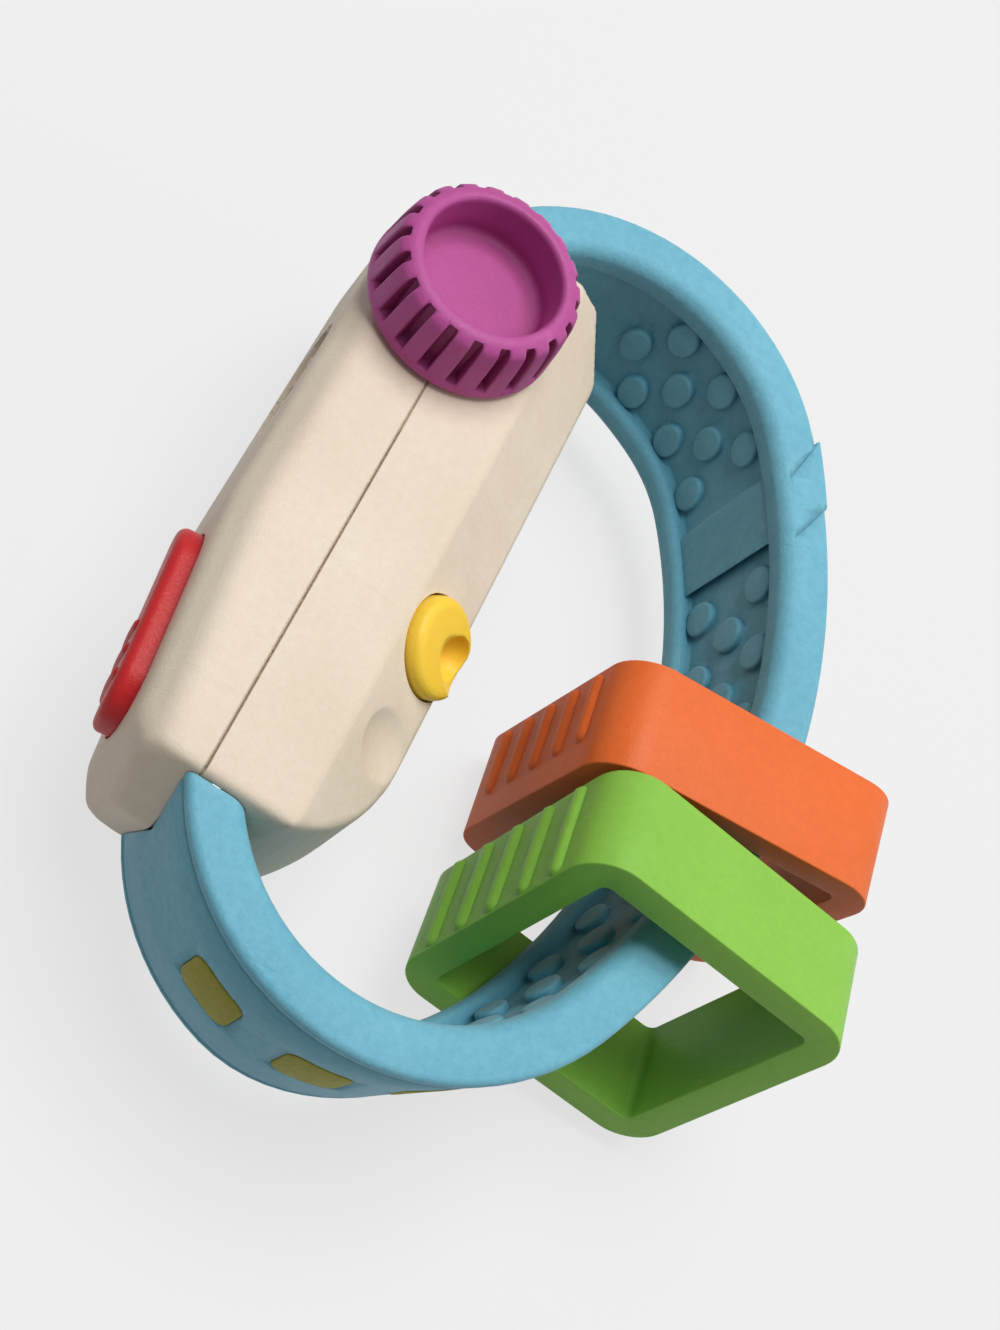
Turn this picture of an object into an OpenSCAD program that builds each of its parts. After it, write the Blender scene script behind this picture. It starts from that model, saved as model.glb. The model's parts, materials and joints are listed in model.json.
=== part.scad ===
// Toy watch: a hollow moulded case with a clicking crown and two push buttons,
// on a closed oval rubber strap that carries two loose square teething rings.
// Millimetres. The dial faces -x and the strap loops round +x, the case is centred on
// y = 0, one side face of the case lies on z = 0 and the crown stands on the other side.
// The seam between the two shells runs just in front of x = 0.

/* [Case] */
// Length of the case between the ridges of its two ends
case_len = 80; // [78:0.5:90]
// Width of the case from side face to side face
case_w = 24.5; // [24:0.5:28]
// Depth from the seam to the dial face
front_depth = 11.6; // [11.4:0.1:13.5]
// Depth from the seam to the wrist face
back_depth = 17.4; // [17:0.1:20]
// Wall thickness of both shells
wall = 2.2; // [1.8:0.1:2.4]
// How far each end face leans in from its ridge to the side faces
end_bevel = 2.5; // [1:0.1:3.5]
// Depth of the bevels along the dial face
front_bevel_depth = 2.9; // [2:0.1:3.5]
// Width of the bevels along the dial face
front_bevel_w = 3.4; // [2.5:0.1:3.6]
// Depth of the bevels along the wrist face
back_bevel_depth = 8; // [7.5:0.1:9]
// Width of the bevels along the wrist face
back_bevel_w = 7; // [6:0.1:7.5]
// Distance of the slope's lower end from the bottom end
slope_end = 5.2; // [4:0.1:6]
// Length of the sloping part of the dial face
slope_len = 25.8; // [25.4:0.1:28]
// How far the slope falls towards the seam
slope_drop = 3.3; // [2:0.1:4]
// Further fall from the slope to the bottom end
toe_drop = 3.3; // [2.5:0.1:4]
// Length of the corner bevels at the top end
top_bevel_len = 8; // [6:0.5:9]
// Fall of the top corner on the dial side
top_front_drop = 3.2; // [2.5:0.1:5]
// Fall of the top corner on the wrist side
top_back_drop = 6.2; // [5:0.1:7]
// Radius of the heel, the bottom corner on the wrist side
heel_r = 17; // [15:0.5:17.4]
// Width of the open seam line between the shells
seam_gap = 0.25; // [0.1:0.05:0.4]
// Distance of the seam in front of the origin
seam_x = 0.4; // [0.3:0.05:0.6]
// Height of the locating lip inside the seam
lip_h = 1.4; // [1:0.1:2]
// Radius of the shallow dimple below the yellow button
dimple_r = 4; // [3:0.1:4.5]
// Depth of the dimple
dimple_depth = 1; // [0.6:0.1:1.2]
// Distance of the dimple from the bottom end
dimple_end = 17; // [15:0.5:19]

/* [Crown] */
// Distance of the crown's axis from the top end
crown_end = 15.7; // [15:0.1:17]
// How far the crown's axis lies in front of the origin
crown_forward = 1.4; // [0:0.1:1.6]
// Radius of the cup in the crown
cup_r = 7.92; // [7:0.01:8.5]
// Depth of the cup
cup_depth = 5.6; // [4.5:0.1:6]
// Radius over the grip lugs
crown_r = 11.2; // [10.8:0.1:12]
// Height of the crown above the case
crown_h = 9; // [8:0.1:10]
// Height of the smooth flange under the lugs
flange_h = 1.4; // [1:0.1:2]
// Number of grip lugs
lug_count = 20; // [12:2:24]
// Width of one grip lug
lug_w = 2.2; // [1.6:0.1:2.4]
// Depth of the slots between the lugs
lug_proud = 1.5; // [1:0.1:1.8]
// Height of the smooth lip above the slots
crown_lip_h = 2; // [1.5:0.1:2.5]
// Radius of the crown axle
axle_r = 3; // [2.5:0.1:3.2]
// Number of teeth on the click wheel
click_teeth = 24; // [24:12:36]
// Tip radius of the click wheel
click_r = 6; // [5.6:0.1:6.4]
// Depth of the click teeth
tooth_depth = 0.8; // [0.6:0.05:0.9]

/* [Buttons] */
// Length of the red button along the slope
red_len = 22.8; // [20:0.1:23.4]
// Width of the red button
red_w = 11.5; // [10.5:0.1:14]
// Corner radius of the red button
red_corner_r = 5; // [3:0.1:5.2]
// Height by which the red button stands out
red_proud = 2.5; // [2:0.1:3.2]
// Travel of the red button
red_travel = 1.8; // [1:0.1:2]
// Radius of the yellow button
yellow_r = 5.4; // [5:0.1:5.6]
// Height by which the yellow button stands out
yellow_proud = 1.6; // [1.2:0.1:2]
// Distance of the yellow button from the bottom end
yellow_end = 29.5; // [29:0.1:31]
// Travel of the yellow button
yellow_travel = 1.5; // [0.8:0.1:1.6]

/* [Dial] */
// Radius of the dial
dial_r = 7.2; // [6:0.1:7.4]
// Distance of the dial's middle from the top end
dial_end = 27; // [25:0.1:28]
// Depth of the recess that holds the dial
dial_recess = 1.5; // [1.4:0.05:1.6]

/* [Strap] */
// Half the width of the oval that the strap makes, to its outer face
loop_a = 34.2; // [33.5:0.1:36]
// How far the oval reaches past each end of the case
loop_reach = 12.8; // [12:0.1:14]
// Radius of the two end bends
bend_r = 27; // [26.5:0.1:28]
// How far the oval's outer face reaches in front of the origin
loop_front = 5.8; // [5:0.1:6.2]
// Distance of the oval's centre below mid-length
loop_below = 0.5; // [0:0.1:1]
// Turn of the oval against the case, in degrees
loop_turn = 3.3; // [2.5:0.1:4]
// How far the strap's edges lie inside the side faces of the case
strap_edge = 1; // [0.8:0.1:1.6]
// Thickness of the strap
strap_t = 6.9; // [6.5:0.1:7.2]
// Width of the rims beside the recess
rim_w = 3.6; // [3:0.1:4.2]
// Depth of the recess in the inner face
recess_depth = 2.3; // [1.8:0.1:2.6]
// Radius of the round gum bumps in the recess
bump_r = 2.2; // [1.8:0.1:2.4]
// Height of the gum bumps
bump_h = 0.9; // [0.5:0.1:1.2]
// Side of the square inlays on the outer face
inlay_w = 6.4; // [5:0.1:7]
// Number of square inlays
inlay_count = 4; // [2:1:4]

/* [Rings] */
// How much wider a ring's square opening is than the strap
ring_play = 5.5; // [5:0.1:6.5]
// Wall of a ring
ring_wall = 3.75; // [3:0.05:4]
// Length of a ring along the strap
ring_len = 12.5; // [11.5:0.1:12.6]
// Radius of a ring's outer corners
ring_corner_r = 5; // [3.5:0.1:5.5]
// Number of ribs on each of two opposite faces
ring_ribs = 5; // [3:1:6]
// Distance of the orange ring along the strap, below the middle of its side
orange_below = 7.4; // [6:0.1:8]
// Distance of the green ring along the strap, below the middle of its side
green_below = 25.75; // [25:0.05:26.5]

/* [Hidden] */

// Fineness of large and of small round faces
round_fn = 96;
small_fn = 32;
// Overrun of cuts past the face that they open
over = 1;
// Clearance between fixed pieces that slip together
slip = 0.15;
// Clearance between pieces that move past each other
play = 0.3;
// Running clearance of the axle in its bush
running = 0.05;

half_len = case_len / 2;
mid_z = case_w / 2;
crown_y = half_len - crown_end;
dial_y = half_len - dial_end;
yellow_y = yellow_end - half_len;
dimple_y = dimple_end - half_len;
// Pivot of the slope on the dial face, and its angle
slope_pivot = [-front_depth, slope_end + slope_len - half_len];
slope_angle = atan(slope_drop / slope_len);
heel_steps = 12;
dimple_ball_r = (dimple_r * dimple_r + dimple_depth * dimple_depth) / (2 * dimple_depth);

function unit(v) = v / norm(v);
function left_of(v) = [-v.y, v.x];
// Corner b of a counter-clockwise outline a, b, c after both its edges move inwards by d
function inner_corner(a, b, c, d) =
  let (n1 = left_of(unit(b - a)), n2 = left_of(unit(c - b))) b + d * (n1 + n2) / (1 + n1 * n2);
function inset(points, d) =
  let (n = len(points))
  [for (i = [0:n - 1]) inner_corner(points[(i + n - 1) % n], points[i], points[(i + 1) % n], d)];
// Points of an arc; first = 1 leaves out its start, where it carries on from another arc
function arc(centre, r, from, to, steps, first = 0) =
  [for (i = [first:steps]) let (a = from + (to - from) * i / steps) centre + r * [cos(a), sin(a)]];
function reversed(points) = [for (i = [len(points) - 1:-1:0]) points[i]];

// Side view of the case, in x and y
side_outline = concat(
  [[-front_depth + slope_drop + toe_drop, -half_len]],
  arc([back_depth - heel_r, heel_r - half_len], heel_r, -90, 0, heel_steps),
  [[back_depth, half_len - top_bevel_len],
   [back_depth - top_back_drop, half_len],
   [-front_depth + top_front_drop, half_len],
   [-front_depth, half_len - top_bevel_len],
   slope_pivot,
   slope_pivot + [slope_drop, -slope_len]]);

// Cross-section of the case, in x and z
cross_outline = [
  [-front_depth, case_w - front_bevel_w], [-front_depth, front_bevel_w],
  [-front_depth + front_bevel_depth, 0], [back_depth - back_bevel_depth, 0],
  [back_depth, back_bevel_w], [back_depth, case_w - back_bevel_w],
  [back_depth - back_bevel_depth, case_w], [-front_depth + front_bevel_depth, case_w]];

// The same cross-section with only its dial-side bevels, for the sloping part
far_side = 2 * case_len;
slope_outline = [
  [-front_depth, case_w - front_bevel_w], [-front_depth, front_bevel_w],
  [-front_depth + front_bevel_depth, 0], [far_side, 0],
  [far_side, case_w], [-front_depth + front_bevel_depth, case_w]];

// View of the case from the dial side, in y and z
end_outline = [
  [end_bevel - half_len, 0], [half_len - end_bevel, 0], [half_len, mid_z],
  [half_len - end_bevel, case_w], [end_bevel - half_len, case_w], [-half_len, mid_z]];

// Outline in x and z run along the case
module along_case(points) {
  translate([0, case_len, 0]) rotate([90, 0, 0]) linear_extrude(2 * case_len) polygon(points);
}

// Outline in y and z run from the dial side to the wrist side
module across_case(points) {
  translate([-case_len, 0, 0]) rotate([90, 0, 90]) linear_extrude(2 * case_len) polygon(points);
}

// Solid form of the case with every face moved inwards by d
module case_form(d) {
  intersection() {
    translate([0, 0, -far_side]) linear_extrude(2 * far_side) polygon(inset(side_outline, d));
    along_case(inset(cross_outline, d));
    translate(slope_pivot) rotate(slope_angle) translate(-slope_pivot) along_case(inset(slope_outline, d));
    across_case(inset(end_outline, d));
  }
}

// Everything on one side of the seam, moved by d towards the wrist
module dial_side(d) {
  translate([d - seam_x - far_side, -far_side, -far_side]) cube([far_side, 2 * far_side, 2 * far_side]);
}
module wrist_side(d) {
  translate([d - seam_x, -far_side, -far_side]) cube([far_side, 2 * far_side, 2 * far_side]);
}

// Rectangle with four round corners, centred
module rounded_plate(size_y, size_z, r) {
  square([size_y - 2 * r, size_z], center = true);
  square([size_y, size_z - 2 * r], center = true);
  for (y = [r - size_y / 2, size_y / 2 - r], z = [r - size_z / 2, size_z / 2 - r])
    translate([y, z]) circle(r, $fn = small_fn);
}

// Coil spring along +z with flat ends, as one wire swept round a helix
coil_steps = 14;
coil_sides = 6;
module coil(r, wire_r, turns, length) {
  n = turns * coil_steps;
  rise = length - 2 * wire_r;
  points = [for (i = [0:n], k = [0:coil_sides - 1])
    let (a = 360 * i / coil_steps, b = 360 * k / coil_sides, q = r + wire_r * cos(b))
    [q * cos(a), q * sin(a), wire_r + rise * i / n + wire_r * sin(b)]];
  sides = [for (i = [0:n - 1], k = [0:coil_sides - 1])
    let (j = (k + 1) % coil_sides, p = i * coil_sides, q = p + coil_sides)
    each [[p + k, p + j, q + j], [p + k, q + j, q + k]]];
  caps = [[for (k = [0:coil_sides - 1]) k],
    [for (k = [0:coil_sides - 1]) n * coil_sides + coil_sides - 1 - k]];
  polyhedron(points, [for (f = concat(sides, caps)) [for (i = [len(f) - 1:-1:0]) f[i]]], convexity = 6);
}
wire_r = 0.35;

// Red button, in a frame on the slope: x = 0 on the face, +x into the case
red_middle_share = 0.52;
red_middle = slope_len * red_middle_share;
red_gap = 0.25;
collar_depth = 3.3;
collar_wall = 1.3;
flange_t = 1.2;
flange_edge = 1;
red_stop = collar_depth + play;
red_seat = 14.5;
red_spring_r = 3.2;
spigot_r = 2.2;
spigot_h = 2.4;
seat_r = 3.8;
seat_t = 1.6;
post_r = 3;
module on_slope() {
  translate([slope_pivot.x, slope_pivot.y, mid_z]) rotate(slope_angle) translate([0, -red_middle, 0])
    children();
}
// Plate outline run inwards from depth from to depth to
module red_plate(grow, from, to) {
  translate([from, 0, 0]) rotate([90, 0, 90]) linear_extrude(to - from)
    rounded_plate(red_len + 2 * grow, red_w + 2 * grow, red_corner_r + grow);
}

// Yellow button, in a frame on the wrist-side bevel: z = 0 on the bevel, -z into the case
bevel_len = norm([back_bevel_depth, back_bevel_w]);
bevel_tilt = atan(back_bevel_w / back_bevel_depth);
yellow_along_share = 0.6;
yellow_gap = 0.25;
yellow_collar_depth = 5.7;
yellow_flange_edge = 0.9;
yellow_stop = yellow_collar_depth + play;
yellow_seat = 13;
yellow_spring_r = 2.6;
yellow_seat_r = 3.5;
yellow_dish_share = 0.6;
yellow_hole_share = 0.45;
yellow_hole_r = 2.05;
module on_bevel(y, along) {
  translate([back_depth - back_bevel_depth, y, case_w]) rotate([0, bevel_tilt, 0])
    translate([along, 0, 0]) children();
}
module on_yellow() {
  on_bevel(yellow_y, bevel_len * yellow_along_share) children();
}

// Screws: places in y and z, from the wrist face towards the dial
screw_up = 2.1;
screw_drop = 3;
screw_over = 12.2;
screw_places = [[crown_y + screw_up, mid_z - screw_drop], [slope_pivot.y + screw_over, mid_z]];
slot_share = 0.25;
slot_reach_share = 0.6;
screw_r = 1.25;
screw_head_r = 2.6;
screw_head_h = 1.8;
screw_len = 20;
screw_well = 4;
boss_r = 3.2;
module at_screws() {
  for (place = screw_places) translate([back_depth, place[0], place[1]]) rotate([0, -90, 0]) children();
}

// Strap: an oval of four arcs with its own centre, turned against the case
strap_w = case_w - 2 * strap_edge;
loop_b = half_len + loop_reach;
loop_x = bend_r - loop_front;
side_r = (loop_a * loop_a + loop_b * loop_b - 2 * loop_b * bend_r) / (2 * (loop_a - bend_r));
side_offset = side_r - loop_a;
bend_offset = loop_b - bend_r;
side_angle = atan(bend_offset / side_offset);
strap_z = (case_w - strap_w) / 2;
top_end_angle = 163;
bottom_end_angle = 165;
tongue_edge = 2.75;
tongue_w = strap_w - 2 * tongue_edge;
tongue_t = 4.5;
tongue_from_angle = 120;
pin_r = 1.5;
pin_back_angle = 7;
slot_step = 1.2;
pin_boss_r = 2.9;
module in_loop() {
  translate([loop_x, -loop_below, 0]) rotate(loop_turn) children();
}
// Curve of the strap from its bottom end to its top end, at depth d below the outer face
bend_steps = 46;
side_steps = 24;
function strap_curve(d) = concat(
  arc([0, -bend_offset], bend_r - d, -bottom_end_angle, -side_angle, bend_steps),
  arc([-side_offset, 0], side_r - d, -side_angle, side_angle, side_steps, 1),
  arc([0, bend_offset], bend_r - d, side_angle, top_end_angle, bend_steps, 1));
// Band of the strap between two depths and two heights
module strap_band(d1, d2, z1, z2) {
  translate([0, 0, z1]) linear_extrude(z2 - z1)
    polygon(concat(strap_curve(d1), reversed(strap_curve(d2))));
}
// Arc of a section in x, measured inwards from the outer face, and z
module strap_arc(centre, r, from, to) {
  translate([centre.x, centre.y, 0]) rotate(from) rotate_extrude(angle = to - from, $fn = round_fn)
    translate([r, 0]) mirror([1, 0]) children();
}
module top_bend(from, to) {
  strap_arc([0, bend_offset], bend_r, from, to) children();
}
module side_bend(from, to) {
  strap_arc([-side_offset, 0], side_r, from, to) children();
}
module bottom_bend(from, to) {
  strap_arc([0, -bend_offset], bend_r, from, to) children();
}
module tongue_section(grow) {
  translate([(strap_t - tongue_t) / 2 - grow, (case_w - tongue_w) / 2 - grow])
    square([tongue_t + 2 * grow, tongue_w + 2 * grow]);
}
module tongues(grow) {
  in_loop() {
    top_bend(tongue_from_angle, top_end_angle + grow) tongue_section(grow);
    bottom_bend(-bottom_end_angle - grow, -tongue_from_angle) tongue_section(grow);
  }
}
// Places of the two strap pins
module at_top_pin() {
  in_loop() translate([0, bend_offset, 0]) rotate(top_end_angle - pin_back_angle)
    translate([bend_r - strap_t / 2, 0, 0]) children();
}
module at_bottom_pin() {
  in_loop() translate([0, -bend_offset, 0]) rotate(pin_back_angle - bottom_end_angle)
    translate([bend_r - strap_t / 2, 0, 0]) children();
}
module pin_bore(r) {
  translate([0, 0, wall / 2]) cylinder(h = case_w - wall, r = r, $fn = small_fn);
}

// Keeper band round the strap near the end of the side arc
keeper_len = 6.6;
keeper_end = 1.2;
keeper_proud = 1;
keeper_sunk = 0.3;
keeper_to = side_angle - keeper_end / side_r * 180 / PI;
keeper_from = keeper_to - keeper_len / side_r * 180 / PI;

// Gum bumps in rows of three and two along the inner face
bump_pitch = 5.2;
bump_edge = 0.45;
bump_side_pitch = (strap_w - 2 * rim_w - 2 * bump_r - 2 * bump_edge) / 2;
bump_end_gap = 1;
module bump_rows(centre, r, from, to) {
  inner_r = r - strap_t + recess_depth;
  rows = floor((to - from) * PI / 180 * inner_r / bump_pitch);
  step = (to - from) / max(rows, 1);
  for (i = [0:rows - 1]) {
    count = i % 2 == 0 ? 3 : 2;
    for (k = [0:count - 1])
      translate([centre.x, centre.y, mid_z + (k - (count - 1) / 2) * bump_side_pitch])
        rotate(from + (i + 0.5) * step) translate([inner_r + over / 2, 0, 0]) rotate([0, -90, 0])
          cylinder(h = bump_h + over / 2, r = bump_r, $fn = small_fn);
  }
}

// Square inlays set in pockets of the outer face, in degrees along the bottom bend
inlay_last = 7;
inlay_pitch = 27;
inlay_depth = 1;
inlay_proud = 0.3;
module inlays(proud) {
  half_angle = inlay_w / 2 / bend_r * 180 / PI;
  in_loop() for (i = [0:inlay_count - 1])
    let (a = -side_angle - inlay_last - i * inlay_pitch)
    bottom_bend(a - half_angle, a + half_angle)
      translate([-proud, mid_z - inlay_w / 2]) square([inlay_depth + proud, inlay_w]);
}

// Crown: heights are measured from the side face that carries it
crown_play = 0.35;
lip_edge = 0.7;
lip_proud = 0.4;
lip_wall = 0.8;
lug_drop = 1.1;
lug_inset = 0.3;
lug_lean = 0.6;
bush_wall = 1.2;
bush_flange = 1.2;
bush_flange_t = 1;
click_top = 1.2;
click_t = 3;
washer_r = 3.8;
washer_t = 1;
axle_below = 9;
axle_in_knob = 1.9;
module at_crown() {
  translate([-crown_forward, crown_y, case_w]) children();
}
function gear_points(teeth, tip, depth) =
  [for (i = [0:2 * teeth - 1]) let (a = 90 + 180 * i / teeth, r = i % 2 == 0 ? tip - depth : tip)
    r * [cos(a), sin(a)]];

// Rings: how far each hangs out of the strap's middle line and above mid-height, and its turns
ring_opening = strap_w + ring_play;
orange_out = -2.8;
orange_up = -2.2;
orange_turn = [0.7, 2, 9.1];
green_out = 1.4;
green_up = -0.1;
green_turn = [-13, 7.2, 15.7];
rib_r = 1.3;
rib_proud = 0.7;
module at_ring(below, out, up, turn) {
  middle_r = side_r - strap_t / 2;
  in_loop() translate([-side_offset, 0, mid_z + up]) rotate(-below / middle_r * 180 / PI)
    translate([middle_r + out, 0, 0]) rotate(turn) rotate([90, 0, 0]) children();
}
module square_ring() {
  side = ring_opening + 2 * ring_wall;
  rib_pitch = (side - 2 * ring_corner_r) / ring_ribs;
  difference() {
    union() {
      translate([0, 0, -ring_len / 2]) linear_extrude(ring_len) rounded_plate(side, side, ring_corner_r);
      for (x = [-1, 1], i = [0:ring_ribs - 1])
        translate([x * (side / 2 + rib_proud - rib_r), (i - (ring_ribs - 1) / 2) * rib_pitch, 0])
          cylinder(h = ring_len - 2 * rib_r, r = rib_r, center = true, $fn = small_fn);
    }
    cube([ring_opening, ring_opening, ring_len + 2 * over], center = true);
  }
}

module front_shell() color([0.87, 0.81, 0.74]) {
  difference() {
    union() {
      difference() {
        intersection() {
          case_form(0);
          dial_side(-seam_gap / 2);
        }
        case_form(wall);
      }
      // Locating lip behind the seam
      difference() {
        intersection() {
          case_form(wall / 2 + slip);
          dial_side(lip_h);
          wrist_side(-lip_h);
        }
        case_form(wall);
      }
      // Collar that guides the red button
      difference() {
        intersection() {
          case_form(wall / 2);
          on_slope() red_plate(red_gap + collar_wall, 0, collar_depth);
        }
        on_slope() red_plate(red_gap, -over, collar_depth + over);
      }
      // Screw bosses
      intersection() {
        case_form(wall / 2);
        dial_side(-seam_gap / 2);
        at_screws() cylinder(h = 2 * back_depth, r = boss_r, $fn = small_fn);
      }
      intersection() {
        case_form(wall / 2);
        dial_side(-seam_gap / 2);
        union() {
          at_top_pin() pin_bosses();
          at_bottom_pin() pin_bosses();
        }
      }
    }
    on_slope() red_plate(red_gap, -collar_depth, collar_depth + over);
    translate([-front_depth, dial_y, mid_z]) rotate([0, 90, 0])
      translate([0, 0, -over]) cylinder(h = dial_recess + over, r = dial_r + slip, $fn = round_fn);
    at_screws() cylinder(h = screw_well + screw_len, r = screw_r, $fn = small_fn);
    at_top_pin() pin_bore(pin_r + slip);
    at_bottom_pin() pin_bore(pin_r + slip);
    tongues(slip);
    at_crown() translate([0, 0, -wall - over])
      cylinder(h = wall + 2 * over, r = axle_r + running + bush_wall, $fn = round_fn);
  }
}

// Short tubes on both side walls that hold a strap pin
module pin_bosses() {
  boss_h = (case_w - tongue_w) / 2 - play;
  for (z = [0, case_w - boss_h]) translate([0, 0, z]) cylinder(h = boss_h, r = pin_boss_r, $fn = small_fn);
}

module back_shell() color([0.87, 0.81, 0.74]) {
  difference() {
    union() {
      difference() {
        intersection() {
          case_form(0);
          wrist_side(seam_gap / 2);
        }
        case_form(wall);
      }
      // Collar that guides the yellow button
      intersection() {
        case_form(wall / 2);
        on_yellow() translate([0, 0, -yellow_collar_depth])
          cylinder(h = yellow_collar_depth, r = yellow_r + yellow_gap + collar_wall, $fn = round_fn);
      }
      // Posts that carry the two button springs
      intersection() {
        case_form(wall / 2);
        wrist_side(seam_gap / 2);
        union() {
          on_slope() rotate([0, 90, 0]) {
            translate([0, 0, red_seat]) cylinder(h = seat_t, r = seat_r, $fn = small_fn);
            translate([0, 0, red_seat - spigot_h])
              cylinder(h = spigot_h + seat_t / 2, r = spigot_r, $fn = small_fn);
          }
          on_slope() translate([red_seat + seat_t / 2, 0, 0]) rotate([0, 90, -slope_angle])
            cylinder(h = back_depth, r = post_r, $fn = small_fn);
          yellow_post();
        }
      }
      intersection() {
        case_form(wall / 2);
        wrist_side(seam_gap / 2);
        at_screws() cylinder(h = 2 * back_depth, r = boss_r, $fn = small_fn);
      }
      intersection() {
        case_form(wall / 2);
        wrist_side(seam_gap / 2);
        at_bottom_pin() pin_bosses();
      }
    }
    // Rebate for the locating lip
    difference() {
      intersection() {
        case_form(wall / 2);
        dial_side(lip_h + slip);
      }
      case_form(wall);
    }
    on_yellow() translate([0, 0, -yellow_collar_depth - over])
      cylinder(h = yellow_collar_depth + 2 * yellow_proud, r = yellow_r + yellow_gap, $fn = round_fn);
    on_bevel(dimple_y, bevel_len * yellow_along_share) translate([0, 0, dimple_ball_r - dimple_depth])
      sphere(dimple_ball_r, $fn = round_fn);
    at_screws() {
      translate([0, 0, -over]) cylinder(h = screw_well + over, r = screw_head_r + play, $fn = small_fn);
      cylinder(h = 2 * back_depth, r = screw_r + slip, $fn = small_fn);
    }
    at_top_pin() pin_bore(pin_r + slip);
    at_bottom_pin() pin_bore(pin_r + slip);
    // The slots open onto the seam, so that the strap is laid in before the shells close
    for (step = [0, slot_step]) translate([-step, 0, 0]) tongues(slip);
    at_crown() translate([0, 0, -wall - over])
      cylinder(h = wall + 2 * over, r = axle_r + running + bush_wall, $fn = round_fn);
  }
}

// Upright post whose top is cut square to the yellow button's travel
module yellow_post() {
  post_x = back_depth - back_bevel_depth + bevel_len * yellow_along_share * cos(bevel_tilt)
    - yellow_seat * sin(bevel_tilt);
  intersection() {
    translate([post_x, yellow_y, 0]) cylinder(h = case_w, r = yellow_seat_r, $fn = small_fn);
    on_yellow() translate([0, 0, -yellow_seat - far_side])
      linear_extrude(far_side) square(far_side, center = true);
  }
}

module case_screws() color("silver") {
  at_screws() difference() {
    union() {
      translate([0, 0, screw_well - screw_head_h]) cylinder(h = screw_head_h, r = screw_head_r, $fn = small_fn);
      translate([0, 0, screw_well - over]) cylinder(h = screw_len, r = screw_r, $fn = small_fn);
    }
    for (a = [0, 90]) rotate(a)
      translate([-screw_head_r * slot_reach_share, -screw_r * slot_share, 0])
        cube([2 * screw_head_r * slot_reach_share, 2 * screw_r * slot_share, screw_well - screw_head_h / 2]);
  }
}

// Dial disc with twelve hour marks
dial_t = 0.8;
mark_h = 0.25;
mark_w = 0.6;
mark_len = 1.3;
mark_edge = 0.5;
module dial() color("white") {
  translate([dial_recess - front_depth, dial_y, mid_z]) rotate([0, -90, 0]) {
    cylinder(h = dial_t, r = dial_r, $fn = round_fn);
    for (i = [0:11]) rotate(30 * i)
      translate([dial_r - mark_edge - mark_len, -mark_w / 2, dial_t - mark_h]) cube([mark_len, mark_w, 2 * mark_h]);
  }
}

// Two fixed hands on one hub
hand_t = 0.4;
hand_w = 1.1;
long_hand_share = 0.62;
short_hand_share = 0.42;
module dial_hands() color([0.67, 0.18, 0.18]) {
  translate([dial_recess - front_depth - dial_t, dial_y, mid_z]) rotate([0, -90, 0]) {
    cylinder(h = hand_t, r = hand_w, $fn = small_fn);
    rotate(30) translate([0, -hand_w / 2, 0]) cube([dial_r * long_hand_share, hand_w, hand_t]);
    rotate(-60) translate([0, -hand_w / 2, 0]) cube([dial_r * short_hand_share, hand_w, hand_t]);
  }
}

module crown_bush() color("white") {
  at_crown() difference() {
    union() {
      translate([0, 0, -wall]) cylinder(h = wall, r = axle_r + running + bush_wall, $fn = round_fn);
      translate([0, 0, -wall - bush_flange_t])
        cylinder(h = bush_flange_t, r = axle_r + running + bush_wall + bush_flange, $fn = round_fn);
    }
    translate([0, 0, -wall - bush_flange_t - over])
      cylinder(h = wall + bush_flange_t + 2 * over, r = axle_r + running, $fn = round_fn);
  }
}

// Leaf with a foot on the dial wall and a tip between two teeth of the click wheel
leaf_t = 0.8;
leaf_foot = 3;
leaf_tip = 1;
click_z = case_w - wall - bush_flange_t - running - click_top - click_t;
module click_spring() color("silver") {
  wall_x = wall - front_depth + crown_forward;
  valley_y = crown_y - click_r + tooth_depth - play;
  leaf_y = crown_y - click_r - play;
  translate([-crown_forward, 0, click_z]) linear_extrude(click_t) polygon([
    [wall_x, leaf_y - leaf_foot], [wall_x + leaf_foot, leaf_y - leaf_foot],
    [wall_x + leaf_foot, leaf_y - leaf_t], [leaf_foot, leaf_y - leaf_t], [leaf_foot, leaf_y],
    [leaf_tip / 2, leaf_y], [0, valley_y], [-leaf_tip / 2, leaf_y], [wall_x, leaf_y]]);
}

module strap() color([0.49, 0.72, 0.82]) {
  difference() {
    union() {
      difference() {
        in_loop() {
          strap_band(0, strap_t - recess_depth, strap_z, case_w - strap_z);
          strap_band(strap_t - recess_depth - over, strap_t, strap_z, strap_z + rim_w);
          strap_band(strap_t - recess_depth - over, strap_t, case_w - strap_z - rim_w, case_w - strap_z);
        }
        case_form(-slip);
      }
      tongues(0);
      in_loop() {
        side_bend(keeper_from, keeper_to)
          translate([-keeper_proud, strap_z]) square([keeper_proud + over, strap_w]);
        side_bend(keeper_from, keeper_to)
          translate([strap_t - recess_depth - over, strap_z + rim_w - over / 2])
            square([recess_depth - keeper_sunk + over, strap_w - 2 * rim_w + over]);
        bump_rows([-side_offset, 0], side_r, -side_angle, keeper_from);
        bump_rows([0, bend_offset], bend_r, side_angle, tongue_from_angle - bump_end_gap);
        bump_rows([0, -bend_offset], bend_r, bump_end_gap - tongue_from_angle, -side_angle);
      }
    }
    at_top_pin() pin_bore(pin_r + slip);
    at_bottom_pin() pin_bore(pin_r + slip);
    inlays(over);
  }
}

module strap_inlays() color([0.65, 0.66, 0.2]) inlays(inlay_proud);

module strap_pin_top() color("silver") at_top_pin() pin_bore(pin_r);

module strap_pin_bottom() color("silver") at_bottom_pin() pin_bore(pin_r);

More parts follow.
